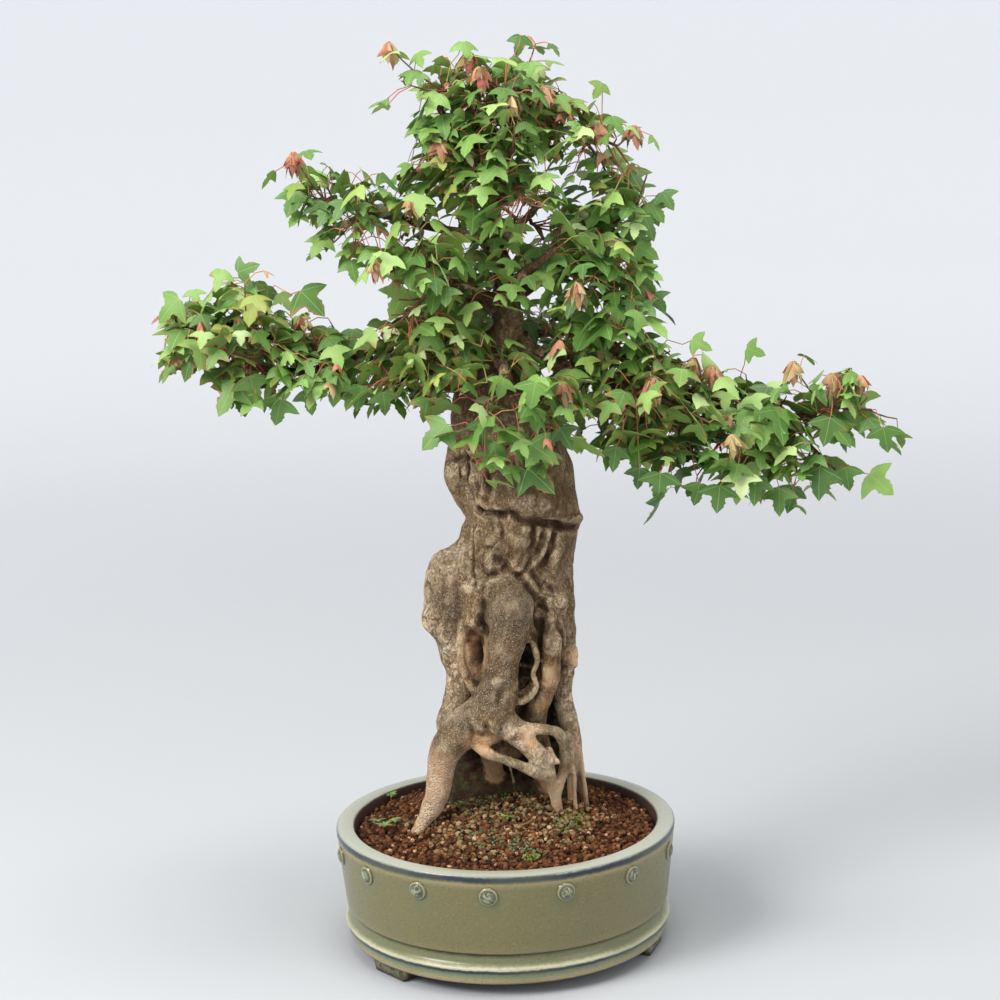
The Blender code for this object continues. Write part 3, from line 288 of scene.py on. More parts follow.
# Where each kind of bark lies, and where shade is painted under the leaves and in recesses, as (x, y, z,
# reach)
ZONES = {
    "pebbly": ((8, -20, 304, 30), (5, -24, 276, 26), (0, -24, 248, 24), (-8, -22, 222, 22),
               (-40, -16, 186, 26), (-58, -12, 156, 30), (-68, -14, 122, 30), (-82, -18, 100, 20),
               (-11, 30, 145, 30), (-44, 0, 308, 22), (-30, -20, 206, 18)),
    # pale: real pale bark, and on the left bulge also painted light from the lit left side
    "pale": ((-46, 4, 342, 28), (-62, 20, 318, 24), (-40, -4, 352, 22), (-64, 18, 285, 20),
             (-52, 6, 262, 26), (-26, -6, 322, 12), (-50, 8, 236, 26), (30, -12, 300, 14),
             (14, -20, 186, 22), (30, -18, 168, 20), (-54, -10, 150, 34), (-70, -16, 118, 34),
             (-46, -6, 214, 22), (62, 26, 200, 30), (70, 28, 150, 40), (-84, -18, 98, 26),
             (-56, 20, 330, 30), (-66, 22, 300, 22), (36, -12, 158, 22), (44, -4, 128, 26),
             (64, 8, 252, 14), (-48, 20, 190, 24)),
    "grey": ((14, -20, 424, 34), (52, -8, 356, 24), (56, 6, 352, 20), (45, -8, 274, 20),
             (8, -24, 300, 34), (-44, 2, 302, 24), (-36, 4, 424, 14), (-19, -6, 424, 12),
             (24, -14, 364, 12), (-12, -24, 226, 24), (-34, -20, 204, 18)),
    "flaky": ((-44, 2, 334, 26), (-22, -8, 328, 22), (54, -2, 308, 22), (36, -4, 316, 20),
              (60, 10, 270, 24), (-40, 0, 250, 18), (20, 70, 330, 60), (-30, 50, 300, 40),
              (66, 12, 330, 22), (-8, -10, 356, 20), (14, 30, 560, 40)),
    "tan": ((-58, -12, 150, 34), (-68, -14, 118, 36), (-84, -18, 96, 28), (-11, 30, 140, 36),
            (45, -4, 130, 30), (70, 24, 140, 40), (40, 20, 140, 40), (60, 14, 120, 30), (-24, 0, 262, 24),
            (0, 70, 130, 60), (-20, -20, 180, 20), (26, -20, 184, 16), (40, -4, 238, 18),
            (34, 4, 212, 16), (66, 6, 250, 14), (-40, 0, 244, 16), (-28, 0, 240, 14)),
    "green": ((44, -12, 188, 20), (54, -4, 172, 18), (6, -24, 164, 24), (28, -20, 152, 20),
              (27, -10, 240, 16), (-26, 8, 448, 18)),
    "rust": ((22, -18, 403, 6), (66, 2, 354, 14), (-24, 0, 288, 8), (66, 4, 368, 7), (34, -12, 384, 8),
             (54, -2, 300, 6), (-2, -14, 342, 8), (37, -14, 408, 6)),
    # painted shade under the leaves and in recesses of the trunk
    "dusk": ((0, 10, 500, 56), (24, -14, 412, 40), (10, 20, 580, 70), (-20, 10, 470, 30),
             (50, -6, 392, 26), (46, 0, 268, 22), (36, 6, 206, 18), (52, -2, 350, 26), (20, -12, 360, 24),
             (46, -4, 246, 18)),
}
CREASE_STEP = 1.2
CREASE_SWAY = 2.4
# Blender's noise vectors start from the clock unless they get a seed
CREASE_SEED = 20
# How the wood is shaded: by what shuts it in, by its creases, and by how proud it stands
RAY_SEED = 8
HOLLOW_RAYS = 12
HOLLOW_REACH = 26.0
PIT_RADIUS = 9.0
CREST_RISE = 0.3
HOLLOW_FROM = 0.36
HOLLOW_GAIN = 1.8
CREASE_SHADE = 0.34
# The shut-in mass behind the roots
CORES = ("inner core", "left core", "web core", "right core", "root ball")
CORE_TOP = 214.0
CORE_LUMPS = 4.0
CORE_EDGE = 3.0
# The lumps of all the wood: how fine and how high, and the fibres that run up it
WOOD_LUMPS = ((44, 1.5), (110, 0.9))
FIBRE_LUMPS = Vector((380, 380, 130))
FIBRE_RISE = 0.5
LUMP_SHARE = 0.8

# The limbs, each a route of (x, y, z, radius), as in the solids
LIMBS = {
    "leader": ((14, 23, 562, 9), (10, 22, 591, 8), (6, 20, 619, 6.5), (3, 18, 649, 5.6), (8, 16, 678, 5),
               (18, 15, 707, 4.3), (27, 14, 733, 3.5), (32, 12, 753, 2.8)),
    "left": ((6, 26, 520, 9), (-10, 26, 530, 7.5), (-28, 26, 532, 6.4), (-72, 27, 534, 5.0),
             (-98, 28, 526, 4.6), (-129, 28, 517, 4.2), (-163, 26, 523, 3.6), (-198, 24, 540, 3.1),
             (-234, 22, 550, 2.6)),
    "left low": ((-123, 28, 518, 3.4), (-146, 16, 510, 3.4), (-173, 4, 508, 3.0), (-200, -8, 513, 2.6),
                 (-228, -16, 520, 2.4)),
    "left back": ((-94, 28, 527, 3.6), (-117, 46, 526, 3.6), (-145, 66, 530, 3.0), (-178, 84, 535, 2.5)),
    "right high": ((12, 24, 558, 8), (28, 22, 572, 5.8), (66, 24, 590, 4.4), (93, 26, 611, 3.6),
                   (112, 28, 634, 2.8)),
    "right low": ((9, 26, 520, 10), (30, 22, 521, 7.4), (64, 14, 502, 5.4), (100, 12, 489, 4.8),
                  (143, 14, 479, 4.4), (191, 16, 469, 3.8), (239, 18, 460, 3.2), (285, 20, 453, 2.6)),
    "right back": ((126, 14, 483, 3.6), (155, 32, 474, 3.6), (189, 52, 460, 3.0), (219, 66, 449, 2.5)),
    "right front": ((92, 12, 491, 3.8), (114, -8, 488, 3.4), (136, -26, 481, 2.8), (159, -38, 471, 2.4)),
    "high left": ((8, 21, 605, 5.2), (-17, 20, 619, 4.4), (-51, 20, 628, 3.8), (-87, 20, 638, 3.2),
                  (-143, 20, 653, 2.3)),
    "mid left": ((6, 23, 564, 6), (-18, 4, 572, 5), (-43, -14, 580, 4), (-82, -36, 594, 2.5)),
    "crown left": ((6, 16, 672, 3.8), (-13, 10, 695, 3.4), (-34, 4, 718, 2.8), (-50, 0, 740, 2.3)),
    "crown right": ((13, 16, 695, 3.4), (41, 14, 703, 3.4), (70, 12, 706, 2.8), (95, 10, 702, 2.3)),
    "crown front": ((5, 18, 645, 4.2), (9, -8, 657, 3.8), (15, -30, 672, 3.0), (20, -44, 689, 2.4)),
    "front hanging": ((6, 22, 519, 7), (7, -2, 512, 5.2), (10, -24, 501, 4.2), (15, -58, 482, 2.6)),
    "front high": ((13, 23, 572, 6), (26, 2, 585, 4.4), (41, -18, 597, 3.6), (54, -34, 607, 2.6)),
    "back low": ((8, 25, 525, 9), (20, 54, 528, 6), (38, 84, 530, 4.6), (68, 124, 527, 2.6)),
    "back left": ((7, 24, 553, 7.5), (-9, 50, 563, 5), (-30, 82, 571, 4), (-50, 112, 576, 3)),
    "back high": ((8, 21, 610, 5.2), (19, 48, 621, 4.2), (34, 74, 634, 3.4), (44, 98, 644, 2.6)),
    "back crown": ((6, 17, 667, 4), (0, 36, 683, 3.4), (-8, 52, 699, 2.6)),
}
COLLAR_RADIUS = 4.0
LIMB_SIDES = 10
LIMB_SPANS = 6

# The foliage pads: middle, half sizes, sprays, blade length and the limbs that carry them
PADS = (
    ("crown_top", (27, 4, 733), (46, 44, 34), 3, 30, ("leader",)),
    ("crown_left", (-33, -2, 716), (44, 40, 40), 3, 30, ("crown left", "leader")),
    ("crown_right", (93, 10, 688), (36, 44, 34), 2, 32, ("crown right",)),
    ("upper_left", (-123, 20, 641), (52, 48, 42), 3, 33, ("high left",)),
    ("middle_left", (-58, -12, 580), (48, 50, 48), 3, 35, ("mid left", "high left")),
    ("lower_left", (-58, -2, 507), (40, 50, 34), 3, 36, ("left",)),
    ("crown_front", (9, -38, 668), (52, 30, 50), 2, 33, ("crown front",)),
    ("right_upper", (100, 14, 614), (50, 58, 54), 3, 35, ("right high", "front high")),
    ("right_inner", (122, -2, 534), (44, 54, 40), 3, 35, ("right high", "front high", "right low")),
    ("left_pad", (-232, 8, 540), (74, 62, 46), 4, 37, ("left", "left low", "left back")),
    ("left_inner", (-134, 14, 507), (44, 54, 32), 2, 36, ("left", "left low", "left back")),
    ("right_middle", (103, -4, 474), (62, 58, 44), 3, 37, ("right low", "right front")),
    ("right_pad", (208, 14, 440), (66, 64, 52), 4, 37, ("right low", "right back", "right front")),
    ("right_end", (301, 18, 438), (58, 46, 46), 3, 37, ("right low", "right back")),
    ("front_hanging", (13, -58, 466), (66, 30, 42), 2, 37, ("front hanging",)),
    ("back_high", (22, 96, 635), (62, 34, 58), 2, 34, ("back high", "back crown")),
    ("back_low", (47, 112, 522), (70, 38, 46), 2, 35, ("back low",)),
    ("back_left", (-55, 104, 568), (52, 38, 48), 2, 35, ("back left", "left back")),
)

# How the solids' twigs were grown, so that each finer spray leaves the same limb at the same place
TARGET_DEPTH = 0.62
TARGET_JITTER = 9.0
SAMPLE_SPANS = 12
FIRST_SEAT = 6
SEAT_SPACING = 9.0
SEAT_REACH = 0.35
SPRAY_SEED = 11
TWIG_RADIUS = 1.9
TWIG_TIP_RADIUS = 1.15
TWIG_BEND = 0.35
TWIG_ARCH = 0.16
TWIG_WANDER = 0.08
TWIG_POINTS = 4
TWIG_HEEL = 3.5
TWIG_CLEARANCE = 1.2
TWIG_STEP = 3.0
TWIG_TRIES = 60
AIM_WANDER = 0.6
NEAR_SEAT = 9.0
TWIG_SIDES = 4

# The finer sprays: shoots off each twig, and pairs of leaves on long stalks
LEAF_SEED = 23
SHOOTS = 8
FIRST_SHOOT = 0.22
SHOOT_LENGTH = (20.0, 42.0)
SHOOT_FORWARD = (0.35, 0.9)
SHOOT_OUTWARD = 0.6
SHOOT_LIFT = (0.0, 0.35)
SHOOT_SWAY = 0.2
SHOOT_RADIUS = 1.0
SHOOT_TIP_RADIUS = 0.55
SHOOT_SIDES = 6
PAIRS = (0.4, 0.72, 1.0)
# Short shoots straight off the limbs
SPUR_LENGTH = (14.0, 34.0)
SPUR_SPACING = 10.5
FIRST_SPUR = 0.16
SPUR_BLADE = 31.0
STALK_LENGTH = (11.0, 25.0)
STALK_FORWARD = (0.2, 0.9)
STALK_RISE = (-0.1, 0.45)
STALK_SAG = 0.22
STALK_RADIUS = 0.42
STALK_SIDES = 4
BLADE_SIZE = (0.46, 0.98, 0.58)
TIP_BLADE = 0.66
BLADE_DROP = (0.05, 1.3)
BLADE_OUTWARD = 0.6
BLADE_WANDER = 0.6
BLADE_ROOM = 0.42
BLADE_TRIES = 8
CELL = 12.0
CANOPY_ROOM = 0.96
CANOPY_HANG = 8.0
CANOPY_RAGGED = 0.3
OPEN_ABOVE = 0.24
OPEN_SIZE = 14.0
# Openings among the leaves, through which the sky or the trunk shows: x, z and radius
OPENINGS = (
    (-74, 724, 14), (-72, 701, 13), (-60, 686, 10), (-84, 680, 14), (-110, 675, 10), (-137, 656, 11),
    (-171, 622, 16), (-143, 601, 10), (-96, 580, 13), (-91, 559, 12), (-111, 549, 11), (-292, 540, 11),
    (-311, 561, 17), (-318, 535, 19), (-292, 576, 9), (-255, 504, 12), (-238, 491, 9), (-120, 568, 17),
    (-145, 559, 12), (161, 518, 12), (146, 532, 10), (174, 511, 9), (326, 480, 17), (334, 464, 12),
    (311, 416, 15), (293, 423, 11), (100, 731, 15), (87, 741, 10), (118, 717, 10), (-31, 767, 10),
    (17, 769, 9), (39, 767, 9), (23, 637, 15), (42, 625, 19), (-28, 476, 16), (23, 710, 8), (-76, 752, 8),
    (56, 444, 12), (86, 415, 10), (-196, 596, 9), (-284, 592, 8), (-262, 566, 9), (-276, 560, 9),
    (-176, 640, 9), (-182, 632, 10), (-158, 628, 9), (60, 636, 9), (52, 610, 10), (-84, 756, 9),
    (-78, 738, 9), (127, 640, 9), (-302, 520, 10), (-272, 488, 9), (78, 458, 10), (320, 432, 12),
    (338, 436, 10),
)
# The canopy between the pads: middle and half sizes
FILLED = (
    ((26, 10, 575), (62, 52, 46)), ((-40, 4, 545), (56, 52, 48)), ((52, 6, 704), (56, 44, 40)),
    ((-10, 6, 690), (50, 46, 44)), ((70, 10, 530), (60, 52, 44)), ((150, 8, 480), (50, 50, 34)),
    ((-66, 4, 662), (36, 40, 26)), ((132, 10, 592), (34, 44, 30)), ((-200, 8, 498), (62, 50, 34)),
    ((170, 10, 425), (92, 50, 38)), ((60, -10, 655), (40, 40, 26)),
)
# Young shoots that stand out of the canopy with folded bronze leaves, and reaching green ones
BRONZE_SHOOTS = (
    (-80, -10, 778), (-14, -20, 768), (-4, -35, 754), (21, -40, 731), (-39, -30, 697), (93, -20, 707),
    (122, -10, 705), (-163, 0, 691), (-61, -45, 653), (-95, -50, 601), (71, -50, 578), (57, -60, 498),
    (14, -54, 446), (185, -20, 504), (255, -10, 505), (291, 0, 493), (313, -5, 491), (199, -45, 448),
    (49, -20, 739), (135, -40, 497), (169, -20, 511),
)
GREEN_SHOOTS = (
    (42, -5, 776), (-262, 0, 566), (-252, -20, 522), (-70, -20, 748), (-206, -24, 586), (200, -14, 416),
    (252, -10, 408), (150, -16, 424),
)
# Leaves that stand apart from the rest: where the stalk ends, and the x and z of the tip
LOOSE_LEAVES = (
    ((-264, -12, 574), (-292, 550)), ((-160, -20, 578), (-134, 552)), ((-252, -25, 529), (-266, 498)),
    ((-220, -20, 502), (-238, 467)), ((-205, -26, 508), (-198, 475)), ((-181, -14, 486), (-190, 457)),
    ((-134, -16, 502), (-138, 472)), ((-158, -8, 493), (-155, 464)), ((-94, -20, 491), (-90, 465)),
    ((-56, -30, 486), (-60, 460)), ((139, -30, 417), (136, 388)), ((190, -24, 404), (186, 375)),
    ((222, -20, 409), (217, 380)), ((242, -16, 399), (239, 370)), ((255, -8, 399), (250, 370)),
    ((276, -20, 417), (271, 383)), ((322, 0, 407), (349, 384)), ((330, -20, 450), (335, 420)),
    ((282, -34, 461), (275, 430)), ((124, 0, 608), (148, 594)), ((126, -10, 589), (150, 577)),
    ((118, 6, 577), (142, 562)), ((-40, -50, 466), (-70, 441)), ((-11, -66, 470), (-10, 443)),
    ((30, -70, 478), (39, 454)), ((1, -60, 451), (-13, 429)), ((29, -66, 449), (60, 429)),
    ((26, -60, 429), (56, 403)), ((34, -74, 501), (28, 474)), ((102, -30, 440), (98, 416)),
    ((54, -50, 460), (67, 438)), ((-227, -10, 597), (-235, 573)), ((-214, -6, 594), (-190, 604)),
    ((173, -22, 406), (167, 380)), ((300, -10, 415), (304, 387)), ((122, -24, 421), (119, 396)),
    ((-112, -14, 496), (-118, 470)), ((136, 2, 644), (150, 622)), ((130, -6, 632), (144, 606)),
    ((138, 4, 566), (150, 548)), ((96, -20, 742), (86, 726)), ((-118, -10, 602), (-112, 580)),
    ((168, -20, 528), (190, 518)), ((214, -20, 520), (236, 512)), ((-18, -20, 778), (-10, 758)),
    ((146, 0, 652), (158, 634)), ((30, -20, 782), (24, 760)),
)
LOOSE_BLADE = 0.78
LOOSE_SWAY = (-14.0, 2.0)
# One dead leaf that hangs edge-on: the end of its stalk, its tip, and the way it faces
DRY_LEAF = ((141, -30, 400), (131, -30, 370))
DRY_FACING = Vector((1.0, -0.25, 0.2))
DRY_SHARE = -1.2
# A bare broken twig on the front of the trunk
BROKEN_TWIG = ((20, -8, 440), (17, -13, 446), (12, -15, 454), (6, -17, 462))
# The folded leaves in the bunch at a bronze shoot's tip
BUNCH = 6
BUNCH_BLADE = (14.0, 22.0)
# The share of its stem that marks a leaf as a folded bronze one
FOLDED = 2.0
# The leaves' colours: their tone, darker low on a stem, and how many turn yellow or bronze
TONE_SPREAD = (1.7, 2.2)
TONE_OF_OLD = 0.65
TONE_OF_NEW = 0.45
YELLOW_SHARE = 0.08
YELLOWEST = 0.7
BRONZE_SHARE = 0.08
YOUNG_SAG = 0.14
YOUNG_BLADE = 27.0

# Half of a leaf's outline in shares of the blade's length, from the stalk round to the tip
HALF_LEAF = (
    (0.0, 0.0), (0.17, -0.04), (0.36, 0.02), (0.54, 0.15), (0.70, 0.33), (0.52, 0.37), (0.36, 0.375),
    (0.225, 0.425), (0.215, 0.52), (0.255, 0.60), (0.195, 0.68), (0.20, 0.75), (0.105, 0.865), (0.0, 1.0),
)
LEAF_THICKNESS = 0.012
SIDE_VEIN = Vector((0.70, 0.33)).normalized()
# Each cut of a leaf: the point that it passes, and the direction across it
LEAF_CUTS = (
    ((0.0, 0.0), (0.33, -0.70)), ((0.0, 0.0), (-0.33, -0.70)), ((0.0, 0.24), (0.0, 1.0)),
    ((0.0, 0.6), (0.0, 1.0)), ((0.36, 0.0), (1.0, 0.0)), ((-0.36, 0.0), (1.0, 0.0)),
)
# How many blades of each kind, and the ranges of their width, droop, fold, side drop and twist
LEAF_FORMS = {
    "green": (12, (0.92, 1.12), (0.05, 0.5), (0.05, 0.3), (0.05, 0.45), (-0.25, 0.25)),
    "bronze": (4, (0.5, 0.75), (0.4, 0.8), (0.1, 0.2), (0.9, 1.5), (-0.3, 0.3)),
}
# The materials of a leafy piece, in their order
TWIG, STALK, LEAF = range(3)

# The camera, as the photograph was taken
CAMERA_PLACE = (2.6, -1600.0, 649.0)
CAMERA_PITCH = math.radians(9.1)
CAMERA_ROLL = math.radians(-1.5)
FOCAL_PIXELS = 1873.0
SENSOR = 36.0
PICTURE_PIXELS = 1000.0
CLIPPING = (0.05, 50.0)

# The stage, in metres: the floor's profile as (radius, height), and the lights that stand round it
STAGE_PROFILE = (
    (0.0, 0.0), (2.6, 0.0), (3.4, 0.03), (4.1, 0.16), (4.7, 0.45), (5.2, 0.95), (5.5, 1.7), (5.6, 4.4),
)
# Each light's name, its place, what it points at, its size, its power and its colour
SOFTBOXES = (
    ("window", (-2.2, -1.5, 2.3), (0.0, 0.0, 0.35), 1.5, 100.0, (1.0, 0.98, 0.95)),
    ("top", (0.1, -0.3, 3.0), (0.0, 0.0, 0.4), 1.6, 58.0, (1.0, 0.99, 0.97)),
    ("fill", (2.6, -2.2, 1.2), (0.0, 0.0, 0.35), 2.0, 23.0, (1.0, 0.98, 0.95)),
)
SKY_COLOUR = (1.0, 0.99, 0.97)
SKY_STRENGTH = 0.72


def paint(red, green, blue):
    """A colour as the eye reads it, 0 to 255, turned linear for a shader."""
    return tuple(
        (part / 255 / 12.92) if part < 11 else ((part / 255 + 0.055) / 1.055) ** 2.4
        for part in (red, green, blue)
    )


class Wire:
    """An output of a node in a finish. An expression on wires adds its Math nodes."""

    def __init__(self, finish, socket):
        self.finish = finish
        self.socket = socket

    def maths(self, operation, *values):
        return self.finish.node("ShaderNodeMath", {"operation": operation}, dict(enumerate(values)))

    def __add__(self, other):
        return self.maths("ADD", self, other)

    __radd__ = __add__

    def __sub__(self, other):
        return self.maths("SUBTRACT", self, other)

    def __rsub__(self, other):
        return self.maths("SUBTRACT", other, self)

    def __mul__(self, other):
        return self.maths("MULTIPLY", self, other)

    __rmul__ = __mul__

    def __truediv__(self, other):
        return self.maths("DIVIDE", self, other)

    def __rtruediv__(self, other):
        return self.maths("DIVIDE", other, self)

    def __pow__(self, other):
        return self.maths("POWER", self, other)

    def __abs__(self):
        return self.maths("ABSOLUTE", self)

    def either(self, other):
        return self.maths("MAXIMUM", self, other)

    def both(self, other):
        return self.maths("MINIMUM", self, other)

    def rises(self, low, high):
        """0 below low, 1 above high, and smooth in between. It falls where low is above high."""
        return self.finish.node(
            "ShaderNodeMapRange", {"interpolation_type": "SMOOTHSTEP"},
            {"Value": self, "From Min": low, "From Max": high},
        )

    def line(self, middle, width):
        """1 at middle, fading to 0 at width away from it."""
        return abs(self - middle).rises(width, 0.0)


class Finish:
    """A material in the making."""

    def __init__(self, name, constants):
        self.material = bpy.data.materials.new(name)
        self.material.use_nodes = True
        self.tree = self.material.node_tree
        self.shader = self.tree.nodes["Principled BSDF"]
        for socket, value in constants.items():
            self.shader.inputs[socket].default_value = value

    def node(self, kind, settings, values, output=0):
        """Adds a node: its settings first, then the value or the wire of each socket."""
        made = self.tree.nodes.new(kind)
        for name, value in settings.items():
            if name == "stops":
                self.lay_stops(made.color_ramp, value)
            else:
                setattr(made, name, value)
        for name, value in values.items():
            if isinstance(value, Wire):
                self.tree.links.new(value.socket, made.inputs[name])
            elif isinstance(value, tuple) and made.inputs[name].type == "RGBA":
                made.inputs[name].default_value = (*value, 1.0)
            else:
                made.inputs[name].default_value = value
        return Wire(self, made.outputs[output])

    def lay_stops(self, ramp, stops):
        first, *middle, last = stops
        for element, (place, colour) in ((ramp.elements[0], first), (ramp.elements[1], last)):
            element.position = place
            element.color = (*colour, 1.0)
        for place, colour in middle:
            ramp.elements.new(place).color = (*colour, 1.0)

    def ramp(self, factor, stops):
        """A ramp of colours, each as the eye reads it."""
        stops = [(place, paint(*colour)) for place, colour in stops]
        return self.node("ShaderNodeValToRGB", {"stops": stops}, {0: factor})

    def mix(self, factor, first, second, blend="MIX"):
        settings = {"data_type": "RGBA", "blend_type": blend}
        return self.node("ShaderNodeMix", settings, {0: factor, 6: first, 7: second}, 2)

    def lay(self, colour, *layers):
        """Lays tones over a colour in turn, each with its share and as the eye reads it."""
        for share, *tone in layers:
            colour = self.mix(share, colour, paint(*tone))
        return colour

    def place(self):
        return self.node("ShaderNodeTexCoord", {}, {}, "Object")

    def from_pot_middle(self):
        return self.node("ShaderNodeMapping", {}, {"Vector": self.place(), "Location": -STAND})

    def stretched(self, place, scale):
        return self.node("ShaderNodeMapping", {}, {"Vector": place, "Scale": scale})

    def apart(self, place):
        """The three parts of a vector."""
        first = self.node("ShaderNodeSeparateXYZ", {}, {"Vector": place})
        return [Wire(self, output) for output in first.socket.node.outputs]

    def cloud(self, place, scale, detail=2.0, roughness=0.5, distortion=0.0):
        values = {"Vector": place, "Scale": scale, "Detail": detail, "Roughness": roughness}
        return self.node("ShaderNodeTexNoise", {}, {**values, "Distortion": distortion})

    def cells(self, place, scale, feature="F1", randomness=1.0):
        values = {"Vector": place, "Scale": scale, "Randomness": randomness}
        return self.node("ShaderNodeTexVoronoi", {"feature": feature}, values)

    def painted(self, attribute):
        return self.node("ShaderNodeAttribute", {"attribute_name": attribute}, {}, "Fac")

    def bump(self, height, strength, distance):
        values = {"Height": height, "Strength": strength, "Distance": distance}
        return self.node("ShaderNodeBump", {}, values)

    def feed(self, **wires):
        for name, wire in wires.items():
            self.tree.links.new(wire.socket, self.shader.inputs[name.replace("_", " ").title()])
        return self.material


def glaze_finish():
    """Celadon that pools blue and tan at each edge and round the studs, and bare clay beneath, with painted
    highlights on the base ridge and the rim's round edge and painted shade in the groove under the wall.
    """
    constants = {"Specular IOR Level": 0.42, "Coat Weight": 0.08, "Coat Roughness": 0.1}
    finish = Finish("celadon glaze", constants)
    spot = finish.from_pot_middle()
    x, y, z = finish.apart(spot)
    radius = ((x * x + y * y) ** 0.5) * 1000
    height = z * 1000
    wander = finish.cloud(spot, 45.0, 3.0) - 0.5
    drip = finish.cloud(finish.stretched(spot, (1.0, 1.0, 0.25)), 260.0, 2.0) - 0.5
    level = (height + wander * 2.2 + drip * 1.6) / 110.0
    olive = (111, 106, 70)
    # the ramp paints a highlight on the base ridge (0.216 to 0.248) and on the rim's round edge (0.971 to
    # 0.975), and shade in the groove under the wall (0.316 to 0.340)
    wall = finish.ramp(level, (
        (0.090, (60, 48, 38)), (0.104, (112, 96, 74)), (0.118, (164, 148, 112)),
        (0.140, (156, 146, 108)), (0.165, (124, 132, 98)), (0.185, (96, 114, 92)),
        (0.195, (42, 54, 60)), (0.208, (36, 46, 56)), (0.216, (98, 104, 98)),
        (0.222, (192, 190, 164)), (0.236, (180, 178, 148)), (0.248, (128, 128, 94)),
        (0.262, (108, 110, 78)), (0.300, (112, 113, 80)), (0.316, (92, 93, 64)),
        (0.326, (54, 54, 38)), (0.340, (60, 58, 40)), (0.352, (124, 114, 80)),
        (0.42, olive), (0.80, olive), (0.868, (112, 107, 73)), (0.892, (134, 123, 84)),
        (0.910, (152, 138, 97)), (0.922, (96, 100, 78)), (0.934, (42, 50, 54)),
        (0.953, (30, 38, 50)), (0.965, (46, 58, 72)), (0.971, (116, 122, 112)),
        (0.975, (164, 162, 140)),
    ))
    mottle = finish.cloud(spot, 520.0, 4.0, 0.7)
    broad = finish.cloud(spot, 14.0, 3.0)
    plain = (level.rises(0.21, 0.26) * level.rises(0.94, 0.9)).either(level.rises(0.19, 0.15))
    wall = finish.lay(
        wall,
        (mottle.rises(0.55, 0.7) * plain * 0.5, 156, 142, 100),
        (mottle.rises(0.46, 0.32) * plain * 0.5, 88, 98, 66),
        (broad.rises(0.4, 0.7) * 0.3, 112, 112, 80),
        ((finish.painted("halo") + drip * 0.3).rises(0.1, 0.9) * 0.65, 94, 108, 80),
    )
    top = height.rises(106.3, 107.1)
    rim = finish.ramp((radius + wander * 1.2 - 130.0) / 22.0, (
        (0.18, (40, 44, 46)), (0.215, (56, 70, 74)), (0.25, (150, 150, 124)),
        (0.32, (154, 155, 139)), (0.80, (160, 162, 148)), (0.87, (128, 134, 127)),
        (0.90, (40, 52, 66)),
    ))
    rim = finish.lay(rim, (mottle.rises(0.5, 0.75) * 0.3, 176, 172, 148))
    colour = finish.mix(top, wall, rim)
    within = radius.rises(134.9, 134.1) * height.rises(30.0, 35.0)
    inside = finish.mix(broad, paint(58, 42, 38), paint(84, 62, 50))
    colour = finish.mix(within, colour, inside)
    bare = height.rises(10.9, 10.4).either(radius.rises(120.0, 118.0))
    colour = finish.lay(colour, (bare, 74, 56, 44))
    gloss = 0.3 + (mottle - 0.5) * 0.22 + bare * 0.5 + within * 0.15
    skin = finish.cloud(spot, 140.0, 2.0) + mottle * 0.25
    return finish.feed(base_color=colour, roughness=gloss, normal=finish.bump(skin, 0.25, 0.0006))


def stud_finish():
    """The glaze on a drum nail: pale at its shoulder ring, where a highlight is painted, with dark teal
    strokes on its dome.
    """
    finish = Finish("nail glaze", {"Coat Weight": 0.3, "Coat Roughness": 0.1})
    face = finish.node("ShaderNodeUVMap", {"uv_map": "face"}, {})
    u, v, _ = finish.apart(face)
    away = (u * u + v * v) ** 0.5
    spot = finish.place()
    curl = finish.cloud(spot, 150.0, 1.0, 0.4, 1.2)
    strokes = curl.line(0.5, 0.13) * away.rises(6.0, 4.6)
    # the pale band at 0.68 is a painted highlight on the shoulder
    ring = finish.ramp(away / 10.0, (
        (0.0, (150, 150, 112)), (0.42, (132, 138, 104)), (0.55, (84, 84, 58)),
        (0.62, (80, 74, 52)), (0.68, (152, 144, 108)), (0.76, (128, 118, 82)),
        (0.82, (78, 70, 46)), (0.9, (92, 90, 62)),
    ))
    flecks = finish.cloud(spot, 420.0, 3.0).rises(0.5, 0.75)
    colour = finish.lay(ring, (flecks * 0.5, 84, 112, 98), (strokes * 0.95, 26, 40, 48))
    skin = finish.cloud(spot, 300.0, 2.0)
    return finish.feed(
        base_color=colour, roughness=0.24 + strokes * 0.1, normal=finish.bump(skin, 0.3, 0.0006)
    )


def foot_finish():
    """Green glaze on a foot's face that thins to bare dark clay at its edges and underside."""
    finish = Finish("foot glaze", {"Coat Weight": 0.15, "Coat Roughness": 0.2})
    spot = finish.from_pot_middle()
    x, y, z = finish.apart(spot)
    radius = ((x * x + y * y) ** 0.5) * 1000
    grain = finish.cloud(spot, 160.0, 4.0, 0.65)
    worn = (z * 1000 + grain * 6.0 - 3.0).rises(4.4, 1.4).either(grain.rises(0.47, 0.6) * 0.9)
    glazed = radius.rises(133.0, 136.0) * (1 - worn)
    green = finish.ramp(finish.cloud(spot, 90.0, 3.0), (
        (0.3, (72, 78, 56)), (0.5, (98, 98, 70)), (0.7, (126, 116, 84))))
    clay = finish.mix(grain, paint(40, 31, 26), paint(76, 60, 48))
    colour = finish.mix(glazed, clay, green)
    return finish.feed(
        base_color=colour, roughness=0.85 - glazed * 0.5, normal=finish.bump(grain, 0.5, 0.001)
    )


